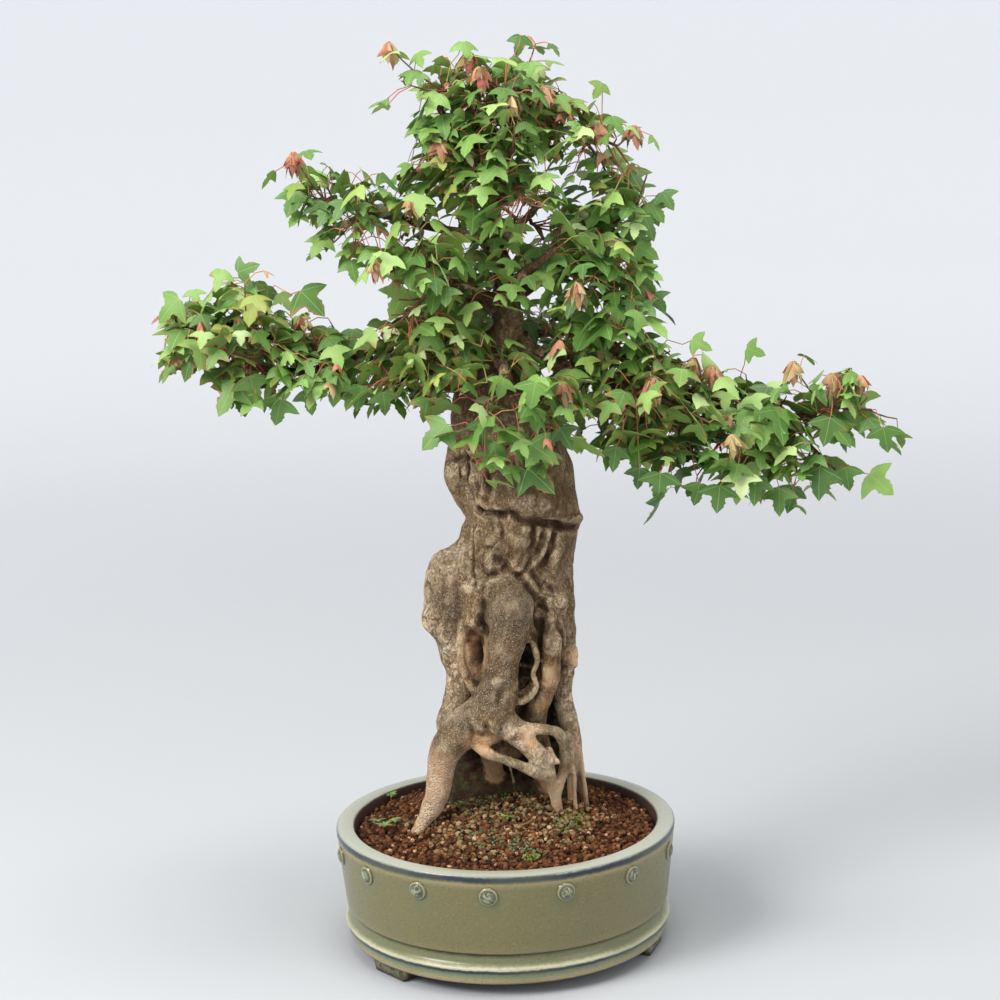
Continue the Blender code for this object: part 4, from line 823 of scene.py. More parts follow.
def grain_finish(name, dark, middle, light, rare):
    """Fired clay grains: each has its own tone, painted shade where it lies sunk among the others, and a
    dull pitted skin.
    """
    finish = Finish(name, {"Specular IOR Level": 0.12})
    spot = finish.place()
    tone = finish.painted("tone")
    pits = finish.cloud(spot, 900.0, 4.0, 0.7)
    colour = finish.ramp(tone + (pits - 0.5) * 0.3, (
        (0.0, dark), (0.4, middle), (0.8, light), (0.97, light), (1.0, rare)))
    colour = finish.lay(colour, (finish.painted("sunk"), 34, 24, 18))
    return finish.feed(
        base_color=colour, roughness=0.82 + pits * 0.15, normal=finish.bump(pits, 0.6, 0.0008)
    )


def bed_finish():
    """The dark fines between the grains."""
    finish = Finish("clay fines", {"Specular IOR Level": 0.2})
    spot = finish.place()
    grit = finish.cells(spot, 420.0)
    colour = finish.ramp(grit + finish.cloud(spot, 60.0, 3.0) * 0.3, (
        (0.15, (70, 46, 30)), (0.5, (48, 31, 22)), (0.9, (28, 19, 14))))
    return finish.feed(
        base_color=colour, roughness=0.9 + grit * 0.1, normal=finish.bump(1 - grit, 0.8, 0.002)
    )


def moss_finish():
    """Blue-green lichen crusts and bright green moss."""
    finish = Finish("moss", {"Specular IOR Level": 0.2})
    spot = finish.place()
    tone = finish.painted("tone")
    fuzz = finish.cloud(spot, 1500.0, 3.0, 0.7)
    colour = finish.ramp(tone, (
        (0.0, (52, 64, 34)), (0.3, (100, 116, 80)), (0.6, (130, 144, 104)),
        (0.85, (98, 118, 44)), (1.0, (122, 144, 52))))
    colour = finish.lay(colour, (fuzz.rises(0.45, 0.75), 54, 56, 34))
    return finish.feed(base_color=colour, roughness=0.9 + fuzz * 0.1, normal=finish.bump(fuzz, 0.9, 0.001))


def bark_finish():
    """Grey-brown maple bark: worn pale on its crests with a painted highlight there, painted shade in its
    clefts, hollows and under the leaves, pebbly, flaky or smooth.
    """
    finish = Finish("bark", {"Specular IOR Level": 0.2})
    grey, green, tan, pale, pebbly, flaky, rust, dusk = (
        finish.painted(zone) for zone in ("grey", "green", "tan", "pale", "pebbly", "flaky", "rust", "dusk")
    )
    bough, crest, deep, hollow = (finish.painted(name) for name in ("limb", "crest", "deep", "hollow"))
    # the bark is less patchy where shade is painted
    smooth = 1 - dusk * 0.62
    spot = finish.place()
    broad = finish.cloud(spot, 30.0, 5.0, 0.62)
    patch = finish.cloud(spot, 85.0, 4.0, 0.62, 0.5)
    fibre = finish.cloud(finish.stretched(spot, (1.0, 1.0, 0.25)), 380.0, 4.0, 0.65)
    grit = finish.cloud(spot, 560.0, 3.0, 0.7)
    fine = finish.cloud(spot, 900.0, 3.0, 0.65)
    beads = finish.cells(spot, 560.0).rises(0.5, 0.2)
    shift = finish.node("ShaderNodeVectorMath", {"operation": "SCALE"}, {
        0: finish.node("ShaderNodeTexNoise", {}, {"Vector": spot, "Scale": 110.0, "Detail": 2.0}, "Color"),
        "Scale": 0.01})
    warped = finish.node("ShaderNodeVectorMath", {"operation": "ADD"}, {0: spot, 1: shift})
    plates = finish.cells(finish.stretched(warped, (1.0, 1.0, 0.75)), 85.0, "DISTANCE_TO_EDGE")
    loose = flaky * patch.rises(0.6, 0.42)
    lifted = plates.rises(0.02, 0.16) * loose
    wrinkle = finish.cloud(finish.stretched(spot, (1.0, 1.0, 0.6)), 210.0, 4.0, 0.7, 0.8).line(0.5, 0.05)
    wrinkle = wrinkle * (1 - tan * 0.8) * (1 - pebbly * 0.7)
    colour = finish.ramp(broad, (
        (0.30, (118, 90, 60)), (0.43, (152, 121, 84)), (0.55, (178, 147, 106)),
        (0.68, (202, 172, 132)), (0.78, (218, 192, 156))))
    colour = finish.lay(
        colour,
        (patch.rises(0.5, 0.66) * smooth * 0.7, 108, 80, 50),
        (patch.rises(0.45, 0.32) * smooth * 0.7, 218, 198, 168),
        (grey * (0.36 + broad * 0.5), 130, 115, 97),
        (green * patch.rises(0.3, 0.5) * 0.75, 140, 132, 92),
        (fibre.rises(0.48, 0.7) * 0.35, 98, 74, 48),
        (fibre.rises(0.46, 0.3) * 0.3, 212, 192, 162),
        (grit.rises(0.52, 0.62) * smooth * 0.5, 84, 60, 38),
        (grit.rises(0.46, 0.36) * smooth * 0.5, 232, 212, 182),
        (tan * 0.66, 250, 196, 150),
        # pale bark, which on the left bulge is partly painted light
        (pale * patch.rises(0.7, 0.4) * 0.85, 236, 216, 190),
        (pebbly * (1 - beads) * (1 - tan * 0.5) * 0.5, 90, 64, 44),
        (pebbly * beads * fine.rises(0.42, 0.56) * 0.85, 236, 216, 188),
        # dark cracks round the loose plates, with painted shadow under their lifted edges
        (plates.rises(0.05, 0.0) * loose * 0.8, 66, 46, 30),
        (lifted * 0.55, 214, 190, 156),
        (rust * patch.rises(0.4, 0.6) * 0.7, 146, 92, 58),
        # painted shade under the leaves and in the recesses
        (dusk * 0.62, 98, 70, 36),
        (bough * 0.8, 104, 78, 56),
        # crests: pale wear with a painted highlight; clefts: painted shade
        (crest.rises(0.05, 0.7) * 0.7, 232, 206, 170),
        (crest.rises(-0.05, -0.7) * 0.7, 80, 52, 28),
    )
    # painted shade on the shut-in mass behind the roots: dark brown, with patches of real moss green
    mossy = finish.cloud(spot, 130.0, 3.0, 0.6).rises(0.5, 0.6)
    shade = finish.mix(mossy * 0.8, paint(52, 35, 23), paint(64, 78, 34))
    colour = finish.mix(deep * 0.92, colour, shade)
    # painted shade where the wood is shut in and in its creases and pits
    colour = finish.lay(colour, ((hollow * 1.1).both(0.94), 34, 23, 14))
    # brightens the tan and pale zones; on the left bulge this is painted light
    colour = finish.mix(0.25 + tan * 0.7 + pale * 0.8, colour, (1.22, 1.18, 1.12), "MULTIPLY")
    # painted shade in the fine wrinkles
    colour = finish.lay(colour, (wrinkle * 0.32, 74, 52, 32))
    relief = fibre * 0.8 + grit * 1.3 + fine * 0.5 + beads * pebbly * 0.9
    relief = relief + lifted * 2.2 + patch * 1.2 - wrinkle * 0.9
    rough = 0.62 + broad * 0.25 - grey * 0.1
    return finish.feed(base_color=colour, roughness=rough, normal=finish.bump(relief, 1.0, 0.003))


def twig_finish():
    """Red-brown bark on this year's and last year's shoots."""
    finish = Finish("young bark", {"Specular IOR Level": 0.4})
    spot = finish.place()
    patch = finish.cloud(spot, 160.0, 3.0, 0.6)
    colour = finish.ramp(patch, (
        (0.3, (70, 40, 28)), (0.5, (104, 62, 42)), (0.7, (134, 104, 78))))
    return finish.feed(
        base_color=colour, roughness=0.5 + patch * 0.2, normal=finish.bump(patch, 0.5, 0.0005)
    )


def stalk_finish():
    """Leaf stalks, red where the light reaches them and yellow-green beneath."""
    finish = Finish("leaf stalk", {"Specular IOR Level": 0.45})
    blush = finish.cloud(finish.place(), 24.0, 2.0)
    colour = finish.ramp(blush, (
        (0.32, (142, 150, 72)), (0.45, (176, 126, 80)), (0.6, (178, 88, 64)),
        (0.75, (150, 60, 50))))
    return finish.feed(base_color=colour, roughness=0.42 + blush * 0.1)


def leaf_finish():
    """A maple blade: three main veins with side veins, paler beneath, partly as painted light shining
    through, bronze when young.
    """
    finish = Finish("maple leaf", {"Specular IOR Level": 0.5})
    blade = finish.node("ShaderNodeUVMap", {"uv_map": "blade"}, {})
    across, along, _ = finish.apart(blade)
    side = abs(across)
    spot = finish.place()
    vein_x, vein_y = SIDE_VEIN
    off_side_vein = side * vein_y - along * vein_x
    midrib = side.rises(0.016, 0.004)
    side_vein = abs(off_side_vein).rises(0.013, 0.003) * (side * vein_x + along * vein_y).rises(0.86, 0.6)
    comb = (along - side * 0.75) * 11.0
    ribs = comb.maths("PINGPONG", comb, 0.5).rises(0.06, 0.0) * side.rises(0.3, 0.05)
    lobe_comb = (side * vein_x + along * vein_y - abs(off_side_vein) * 0.9) * 12.0
    lobe_ribs = lobe_comb.maths("PINGPONG", lobe_comb, 0.5).rises(0.05, 0.0) * side.rises(0.12, 0.25)
    veins = midrib.either(side_vein)
    tone = finish.painted("tone")
    mottled = finish.cloud(spot, 70.0, 3.0)
    fresh = finish.ramp(tone + (mottled - 0.5) * 0.25, (
        (0.0, (56, 92, 36)), (0.25, (82, 122, 48)), (0.5, (112, 152, 66)),
        (0.75, (154, 184, 104)), (1.0, (190, 208, 150))))
    beneath = finish.painted("under")
    # beneath: a paler underside, and painted light shining through it
    fresh = finish.lay(fresh, (finish.painted("yellow"), 166, 172, 74), (beneath * 0.5, 140, 170, 76))
    young = finish.ramp(finish.cloud(spot, 55.0, 2.0) + along * 0.25, (
        (0.3, (206, 166, 118)), (0.45, (208, 132, 110)), (0.6, (188, 98, 88)),
        (0.8, (150, 74, 70))))
    scorched = finish.painted("edge").rises(0.6, 1.0) * finish.cloud(spot, 12.0, 2.0).rises(0.52, 0.66)
    small_veins = ribs.either(lobe_ribs)
    colour = finish.lay(
        finish.mix(finish.painted("bronze"), fresh, young),
        (scorched * 0.7, 150, 100, 56),
        (small_veins * 0.16, 160, 186, 108),
        (veins * 0.38, 180, 198, 124),
    )
    gloss = 0.42 + mottled * 0.16 + beneath * 0.15
    relief = (1 - veins) * 0.6 + (1 - small_veins) * 0.3 + finish.cloud(blade, 14.0, 2.0) * 0.6
    return finish.feed(base_color=colour, roughness=gloss, normal=finish.bump(relief, 0.45, 0.0006))


def screen_finish():
    """Dull black plastic mesh with soil dust on it."""
    finish = Finish("mesh plastic", {"Specular IOR Level": 0.4})
    spot = finish.place()
    dust = finish.cloud(spot, 260.0, 4.0, 0.6)
    colour = finish.mix(dust.rises(0.5, 0.75) * 0.5, paint(38, 38, 40), paint(88, 64, 46))
    return finish.feed(base_color=colour, roughness=0.5 + dust * 0.3, normal=finish.bump(dust, 0.3, 0.0003))


def floor_finish():
    """Pale studio cloth, painted lighter and glowing where it hangs far behind the bonsai, as painted
    light.
    """
    constants = {"Roughness": 0.95, "Specular IOR Level": 0.1, "Emission Strength": 1.0}
    finish = Finish("studio cloth", constants)
    spot = finish.place()
    x, y, _ = finish.apart(spot)
    far = ((x * x + y * y) ** 0.5).rises(0.4, 4.6)
    weave = finish.cloud(spot, 1.2, 2.0)
    near_cloth = finish.mix(weave, (0.42, 0.435, 0.455), (0.44, 0.455, 0.475))
    colour = finish.mix(far, near_cloth, (0.62, 0.64, 0.67))
    # the far cloth glows: painted light
    glow = finish.mix(far, (0.0, 0.0, 0.0), (0.21, 0.215, 0.222))
    return finish.feed(base_color=colour, emission_color=glow)


def new_object(name, mesh, *materials):
    made = bpy.data.objects.new(name, mesh)
    bpy.context.scene.collection.objects.link(made)
    for material in materials:
        mesh.materials.append(material)
    return made


def evaluated_mesh(obj):
    bpy.context.view_layer.update()
    graph = bpy.context.evaluated_depsgraph_get()
    return bpy.data.meshes.new_from_object(obj.evaluated_get(graph), depsgraph=graph)


def mesh_of(bm, name):
    mesh = bpy.data.meshes.new(name)
    bm.to_mesh(mesh)
    bm.free()
    return mesh


def finished(name, mesh, nodes, materials, sharp=40.0):
    """Moves a mesh made round the pot's middle onto the solids, as a piece that rides with them."""
    mesh.transform(Matrix.Translation(STAND))
    piece = new_object(name, mesh, *materials)
    mesh.shade_smooth()
    mesh.set_sharp_from_angle(angle=math.radians(sharp))
    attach(piece, "root")
    if nodes:
        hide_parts(*nodes)
    return piece


def paint_vertices(mesh, name, values):
    mesh.attributes.new(name, "FLOAT", "POINT").data.foreach_set("value", values)


def smooth_route(route, spans):
    """Points with radii, in metres, on a smooth curve through a route's own points."""
    knots = [Vector(point) * MM for point in route]
    knots = [2 * knots[0] - knots[1], *knots, 2 * knots[-1] - knots[-2]]
    points = []
    for a, b, c, d in zip(knots, knots[1:], knots[2:], knots[3:]):
        for i in range(spans):
            t = i / spans
            points.append(
                0.5 * (2 * b + (c - a) * t + (2 * a - 5 * b + 4 * c - d) * t**2
                       + (3 * b - a - 3 * c + d) * t**3)
            )
    points.append(knots[-2])
    return points


def domed(points):
    """Points with radii, rounded off past both ends."""
    ends = []
    for end, inner in ((points[0], points[1]), (points[-1], points[-2])):
        out = (end - inner).to_3d().normalized() * end.w
        ends.append([Vector((*(end.to_3d() + out * reach), end.w * share)) for reach, share in DOME])
    return [*reversed(ends[0]), *points, *ends[1]]


def tubes(runs, sides, materials=(None,)):
    """One mesh of closed tapering tubes: each run is its points with radii and its material's number."""
    curve = bpy.data.curves.new("guide", "CURVE")
    curve.dimensions = "3D"
    curve.fill_mode = "FULL"
    curve.bevel_depth = 1.0
    curve.bevel_resolution = (sides - 4) // 2
    curve.use_fill_caps = True
    for material in materials:
        curve.materials.append(material)
    for points, number in runs:
        spline = curve.splines.new("POLY")
        spline.points.add(len(points) - 1)
        spline.material_index = number
        for place, point in zip(spline.points, points):
            place.co = (*point[:3], 1.0)
            place.radius = point[3]
    guide = new_object("guide", curve)
    mesh = evaluated_mesh(guide)
    bpy.data.objects.remove(guide)
    bm = bmesh.new()
    bm.from_mesh(mesh)
    bmesh.ops.remove_doubles(bm, verts=bm.verts, dist=1e-6)
    bmesh.ops.recalc_face_normals(bm, faces=bm.faces)
    bm.to_mesh(mesh)
    bm.free()
    return mesh


def add_copy(bm, template, matrix):
    """Adds a template's mesh to a piece, placed by a matrix."""
    template.transform(matrix)
    bm.from_mesh(template)
    template.transform(matrix.inverted())


def at_angle(angle, radius, height):
    """Places a piece made along -Y on the pot's wall, turned about the pot's axis."""
    return Matrix.Rotation(angle, 4, "Z") @ Matrix.Translation((0.0, -radius * MM, height * MM))


def wall_radius(height):
    share = (height - WALL_FOOT[1]) / (RIM_HEIGHT - WALL_FOOT[1])
    return WALL_FOOT[0] + (RIM_OUTER_RADIUS - WALL_FOOT[0]) * share


def stud_angles():
    for i in range(STUDS):
        angle = STUD_FIRST + i * 2 * math.pi / STUDS
        yield angle + STUD_LEAN * (1 - math.cos(angle + STUD_LEAN_FROM))


def spun(profile, steps):
    """A closed form turned from a profile of (radius, height) in millimetres."""
    bm = bmesh.new()
    points = [bm.verts.new((radius * MM, 0.0, height * MM)) for radius, height in profile]
    edges = [bm.edges.new(pair) for pair in zip(points, points[1:])]
    bmesh.ops.spin(
        bm, geom=[*points, *edges], cent=(0.0, 0.0, 0.0), axis=(0.0, 0.0, 1.0), angle=2 * math.pi,
        steps=steps, use_merge=True,
    )
    bmesh.ops.remove_doubles(bm, verts=bm.verts, dist=1e-6)
    open_edges = [edge for edge in bm.edges if edge.is_boundary]
    if open_edges:
        bmesh.ops.holes_fill(bm, edges=open_edges, sides=0)
    bmesh.ops.recalc_face_normals(bm, faces=bm.faces)
    return bm


def make_pot(glaze):
    """The thrown drum: one turned wall with its drains, and its glaze marked round the nails."""
    bm = spun(POT_PROFILE, POT_STEPS)
    pot = new_object("pot guide", mesh_of(bm, "glazed_drum"))
    cutters = []
    for side in (-1, 1):
        bm = bmesh.new()
        bmesh.ops.create_cone(
            bm, cap_ends=True, segments=32, radius1=DRAIN_RADIUS * MM, radius2=DRAIN_RADIUS * MM,
            depth=2 * FLOOR * MM,
        )
        bmesh.ops.translate(bm, verts=bm.verts, vec=(side * DRAIN_SPACING / 2 * MM, 0.0, FLOOR * MM))
        cutter = new_object("drain", mesh_of(bm, "drain"))
        drill = pot.modifiers.new("Drain", "BOOLEAN")
        drill.operation = "DIFFERENCE"
        drill.object = cutter
        cutters.append(cutter)
    mesh = evaluated_mesh(pot)
    for helper in (pot, *cutters):
        bpy.data.objects.remove(helper)
    places = [at_angle(a, wall_radius(STUD_HEIGHT), STUD_HEIGHT).translation for a in stud_angles()]
    halo = []
    for vert in mesh.vertices:
        nearest = 0.0
        for place in places:
            gap = vert.co - place
            gap.z *= 0.7 if gap.z < 0 else 1.3
            nearest = max(nearest, 1 - gap.length / (HALO_REACH * MM))
        halo.append(nearest)
    paint_vertices(mesh, "halo", halo)
    return finished("glazed_drum", mesh, ["pot"], [glaze], 30.0)


def make_studs(glaze):
    """The drum nails under the rim, with a plane map of each face for its strokes."""
    nail = spun(STUD_PROFILE, 28)
    nail.loops.layers.uv.new("face")
    layer = nail.loops.layers.uv["face"]
    for face in nail.faces:
        for loop in face.loops:
            loop[layer].uv = (loop.vert.co.x / MM, loop.vert.co.y / MM)
    template = mesh_of(nail, "nail")
    facing = Matrix.Rotation(math.pi / 2, 4, "X")
    slope = math.atan2(RIM_OUTER_RADIUS - WALL_FOOT[0], RIM_HEIGHT - WALL_FOOT[1])
    bm = bmesh.new()
    for angle in stud_angles():
        place = at_angle(angle, wall_radius(STUD_HEIGHT), STUD_HEIGHT)
        add_copy(bm, template, place @ Matrix.Rotation(slope, 4, "X") @ facing)
    return finished("drum_nails", mesh_of(bm, "drum_nails"), ["pot"], [glaze], 60.0)


def make_feet(glaze):
    """Three bracket feet with sloped ends and worn, softened edges."""
    bm = bmesh.new()
    for angle in FOOT_ANGLES:
        foot = bmesh.new()
        bmesh.ops.create_cube(foot, size=1.0)
        height = UNDERSIDE + 1.0
        for vert in foot.verts:
            length = FOOT_LENGTH_TOP if vert.co.z > 0 else FOOT_LENGTH_BOTTOM
            vert.co = Vector((vert.co.x * length, vert.co.y * FOOT_DEPTH, (vert.co.z + 0.5) * height)) * MM
        bmesh.ops.bevel(
            foot, geom=foot.edges, offset=FOOT_EDGE * MM, segments=3, profile=0.5, affect="EDGES",
            material=-1,
        )
        bmesh.ops.subdivide_edges(
            foot, edges=[edge for edge in foot.edges if edge.calc_length() > 8 * MM], cuts=5,
            use_grid_fill=True,
        )
        for vert in foot.verts:
            swell = noise.noise(vert.co * 90 + Vector((angle, 0.0, 0.0)))
            if vert.co.z > 1.0 * MM:
                vert.co += vert.normal * swell * FOOT_WEAR * MM
        bmesh.ops.transform(foot, matrix=at_angle(math.radians(angle), FOOT_RADIUS, 0.0), verts=foot.verts)
        bm.from_mesh(mesh_of(foot, "foot"))
    return finished("bracket_feet", mesh_of(bm, "bracket_feet"), ["pot"], [glaze])


def soil_height(x, y):
    """The height of the soil: a low mound round the foot of the trunk."""
    away = math.hypot(x - MOUND_MIDDLE[0], y - MOUND_MIDDLE[1]) / MOUND_WIDTH
    return SOIL_EDGE + MOUND_RISE * math.exp(-(away**2))


def make_bed(fines):
    """The packed soil under the loose grains."""
    radius, foot = INNER_FOOT
    edge = radius + (RIM_INNER_RADIUS - radius) * (SOIL_EDGE - foot) / (RIM_HEIGHT - foot)
    rings = [(edge * share, SOIL_EDGE) for share in BED_RINGS]
    bm = spun([*rings, (radius - GAP, foot), (FLOOR_RADIUS, BED_FOOT)], BED_STEPS)
    for vert in bm.verts:
        if vert.co.z > 90 * MM:
            x, y = vert.co.x / MM, vert.co.y / MM
            vert.co.z = (soil_height(x, y) - BED_SUNK + 1.2 * noise.noise(vert.co * 130)) * MM
    return finished("packed_soil", mesh_of(bm, "packed_soil"), ["soil"], [fines])


def grain_templates(chance):
    """Rough rounded grains about a unit across, no two alike."""
    shapes = []
    for number in range(GRAIN_SHAPES):
        bm = bmesh.new()
        bmesh.ops.create_icosphere(bm, subdivisions=1, radius=0.5)
        for vert in bm.verts:
            vert.co *= chance.uniform(0.82, 1.15)
        bmesh.ops.scale(bm, verts=bm.verts, vec=(chance.uniform(0.8, 1.2), chance.uniform(0.8, 1.2), 0.85))
        for name in ("tone", "sunk"):
            bm.verts.layers.float.new(name)
        shapes.append(mesh_of(bm, f"grain_{number}"))
    return shapes


def tumbled(spot, size, chance):
    turn = Matrix.Rotation(chance.uniform(0, math.tau), 4, Vector([chance.gauss(0, 1) for _ in range(3)]))
    return Matrix.Translation(spot) @ turn @ Matrix.Scale(size, 4)


def scatter(bm, shapes, count, reach, sizes, tones, lift, wood, chance, middle=(0.0, 0.0)):
    """Lays loose grains over a round patch of the soil, clear of the wood."""
    for _ in range(count):
        away = reach * math.sqrt(chance.random())
        angle = chance.uniform(0, math.tau)
        x = middle[0] + away * math.cos(angle)
        y = middle[1] + away * math.sin(angle)
        size = chance.uniform(*sizes)
        if math.hypot(x, y) > GRAIN_LIMIT - size / 2:
            continue
        spot = Vector((x, y, soil_height(x, y) + chance.uniform(*lift))) * MM
        if wood.find_nearest(spot, size * 0.4 * MM)[0]:
            continue
        shape = chance.choice(shapes)
        vertices = len(shape.vertices)
        shape.attributes["tone"].data.foreach_set("value", [chance.uniform(*tones)] * vertices)
        # painted shade on grains that lie sunk below the mound among the others
        sunk = max(0.0, -(spot.z / MM - soil_height(x, y)) * 0.22)
        shape.attributes["sunk"].data.foreach_set("value", [min(0.7, sunk)] * vertices)
        add_copy(bm, shape, tumbled(spot, size * MM, chance))


def make_grains(wood, clay, stone, lichen):
    """Fired clay grains over the whole bed, paler stones by the trunk, and moss between them."""
    chance = random.Random(GRAIN_SEED)
    shapes = grain_templates(chance)
    bm = bmesh.new()
    for count, sizes, tones, lift in CLAY_LAYERS:
        scatter(bm, shapes, count, BED_REACH, sizes, tones, lift, wood, chance)
    finished("clay_grains", mesh_of(bm, "clay_grains"), ["soil"], [clay], 30.0)
    bm = bmesh.new()
    for middle, reach, count in STONE_PATCHES:
        scatter(bm, shapes, count, reach, STONE_SIZES, (0.0, 1.0), STONE_LIFT, wood, chance, middle)
    finished("pale_stones", mesh_of(bm, "pale_stones"), ["soil"], [stone], 30.0)
    bm = bmesh.new()
    for middle, reach, count, tones in MOSS:
        scatter(bm, shapes, count, reach, MOSS_SIZES, tones, MOSS_LIFT, wood, chance, middle)
    return finished("moss_tufts", mesh_of(bm, "moss_tufts"), [], [lichen], 30.0)


def crease_fall(mesh, tree):
    """How far each vertex sinks into the creases and bosses near it, in metres, and how much shade is
    painted there.
    """
    sink = [0.0] * len(mesh.vertices)
    dark = [0.0] * len(mesh.vertices)
    noise.seed_set(CREASE_SEED)
    for points, width, depth in CREASES:
        nearest = {}
        chain = [Vector(point) for point in points]
        for a, b in zip(chain, chain[1:]):
            steps = math.ceil((b - a).length / CREASE_STEP)
            for i in range(steps + 1):
                spot = a.lerp(b, i / steps)
                spot += noise.noise_vector(spot / 10) * CREASE_SWAY
                ends = min((spot - chain[0]).length, (spot - chain[-1]).length)
                strength = min(1.0, 0.15 + ends / (3.5 * width)) * (1 + 0.5 * noise.noise(spot / 9))
                for _, index, gap in tree.find_range(spot * MM, width * 2.4 * MM):
                    share = strength * math.exp(-((gap / (width * MM)) ** 2))
                    nearest[index] = max(share, nearest.get(index, 0.0))
        for index, share in nearest.items():
            sink[index] += depth * share * MM
            if depth > 0:
                dark[index] = max(dark[index], share**2 * min(1.0, depth / 5))
    for middle, radius, rise in BOSSES:
        for _, index, gap in tree.find_range(Vector(middle) * MM, radius * 2 * MM):
            share = math.exp(-((gap / (radius * 0.8 * MM)) ** 2))
            sink[index] -= rise * share * MM
            if rise < 0 and radius < PIT_RADIUS:
                dark[index] = max(dark[index], share * min(1.0, -rise / 3))
    return sink, dark


def mesh_tree(mesh, origin=Vector()):
    """A mesh ready to be asked what is near a point or along a ray, measured from an origin."""
    corners = [vert.co - origin for vert in mesh.vertices]
    return BVHTree.FromPolygons(corners, [tuple(polygon.vertices) for polygon in mesh.polygons])


def hollowness(mesh, chance):
    """How shut in each vertex is by wood near it, from 0 in the open to 1."""
    tree = mesh_tree(mesh)
    rays = [Vector([chance.gauss(0, 1) for _ in range(3)]).normalized() for _ in range(HOLLOW_RAYS)]
    shut = []
    for vert in mesh.vertices:
        start = vert.co + vert.normal * 0.6 * MM
        hits = 0.0
        for ray in rays:
            heading = (ray + vert.normal * 1.1).normalized()
            reach = tree.ray_cast(start, heading, HOLLOW_REACH * MM)[3]
            if reach is not None:
                hits += 1 - 0.5 * reach / (HOLLOW_REACH * MM)
        shut.append(hits / HOLLOW_RAYS)
    return shut


def crests(bm):
    """How far each vertex stands proud of its neighbours, from -1 in a cleft to 1 on a crest."""
    proud = []
    for vert in bm.verts:
        ring = [edge.other_vert(vert).co for edge in vert.link_edges]
        middle = sum(ring, Vector()) / len(ring)
        proud.append((vert.co - middle).dot(vert.normal) / (CREST_RISE * MM))
    for _ in range(2):
        spread = []
        for vert, value in zip(bm.verts, proud):
            around = sum(proud[edge.other_vert(vert).index] for edge in vert.link_edges)
            spread.append((value + around) / (1 + len(vert.link_edges)))
        proud = spread
    return [max(-1.0, min(1.0, value)) for value in proud]


def core_shares(mesh):
    """How far each vertex belongs to the shut-in mass behind the roots, from 0 to 1."""
    roots = (HEART, *SWELLINGS.values(), *ROOTS.values())
    cores = [point for name in CORES for point in smooth_route(NUBS[name], WOOD_SPANS)]
    rest = [point for route in roots for point in smooth_route(route, WOOD_SPANS)]
    shares = []
    for vert in mesh.vertices:
        share = 0.0
        if vert.co.z < CORE_TOP * MM:
            core = min((vert.co - point.to_3d()).length - point.w for point in cores)
            other = min((vert.co - point.to_3d()).length - point.w for point in rest)
            share = min(1.0, max(0.0, (other - core) / (CORE_EDGE * MM)))
        shares.append(share)
    return shares


def zone_share(point, spots):
    share = 0.0
    for x, y, z, reach in spots:
        gap = math.sqrt((point.x - x) ** 2 + (point.y - y) ** 2 + (point.z - z) ** 2)
        share = max(share, min(1.0, 1.6 * (1 - gap / reach)))
    return max(0.0, share)


def grown_wood():
    """The trunk, its roots and the first of each limb grown into one skin, and the limbs' own runs."""
    routes = (HEART, *SWELLINGS.values(), *ROOTS.values(), *NUBS.values())
    runs = [(domed(smooth_route(route, WOOD_SPANS)), 0) for route in routes]
    limbs = []
    for route in LIMBS.values():
        points = smooth_route(route, LIMB_SPANS)
        thick = [point for point in points if point.w > COLLAR_RADIUS * MM]
        if len(thick) > 2:
            runs.append((domed(thick), 0))
        for point in points:
            point.w *= 1.05 + 0.35 * noise.noise(point.to_3d() * 90)
        limbs.append((domed(points), 0))
    grown = new_object("grown wood", tubes(runs, WOOD_SIDES))
    remesh = grown.modifiers.new("Grow together", "REMESH")
    remesh.mode = "VOXEL"
    remesh.voxel_size = WOOD_VOXEL * MM
    smooth = grown.modifiers.new("Soften", "SMOOTH")
    smooth.iterations = 3
    mesh = evaluated_mesh(grown)
    bpy.data.objects.remove(grown)
    return mesh, limbs


def carve(mesh, cores):
    """Sinks the creases and pits into the skin and lifts its lumps. Says how much painted shade each vertex
    gets.
    """
    tree = KDTree(len(mesh.vertices))
    for index, vert in enumerate(mesh.vertices):
        tree.insert(vert.co, index)
    tree.balance()
    sink, dark = crease_fall(mesh, tree)
    normals = [vert.normal.copy() for vert in mesh.vertices]
    for vert, normal, fall, core in zip(mesh.vertices, normals, sink, cores):
        swell = sum(rise * noise.noise(vert.co * fine) for fine, rise in WOOD_LUMPS)
        swell += FIBRE_RISE * noise.noise(vert.co * FIBRE_LUMPS)
        swell += core * CORE_LUMPS * (noise.noise(vert.co * 75) + 0.7 * noise.noise(vert.co * 190))
        vert.co += normal * (swell * MM * LUMP_SHARE - fall)
    return dark


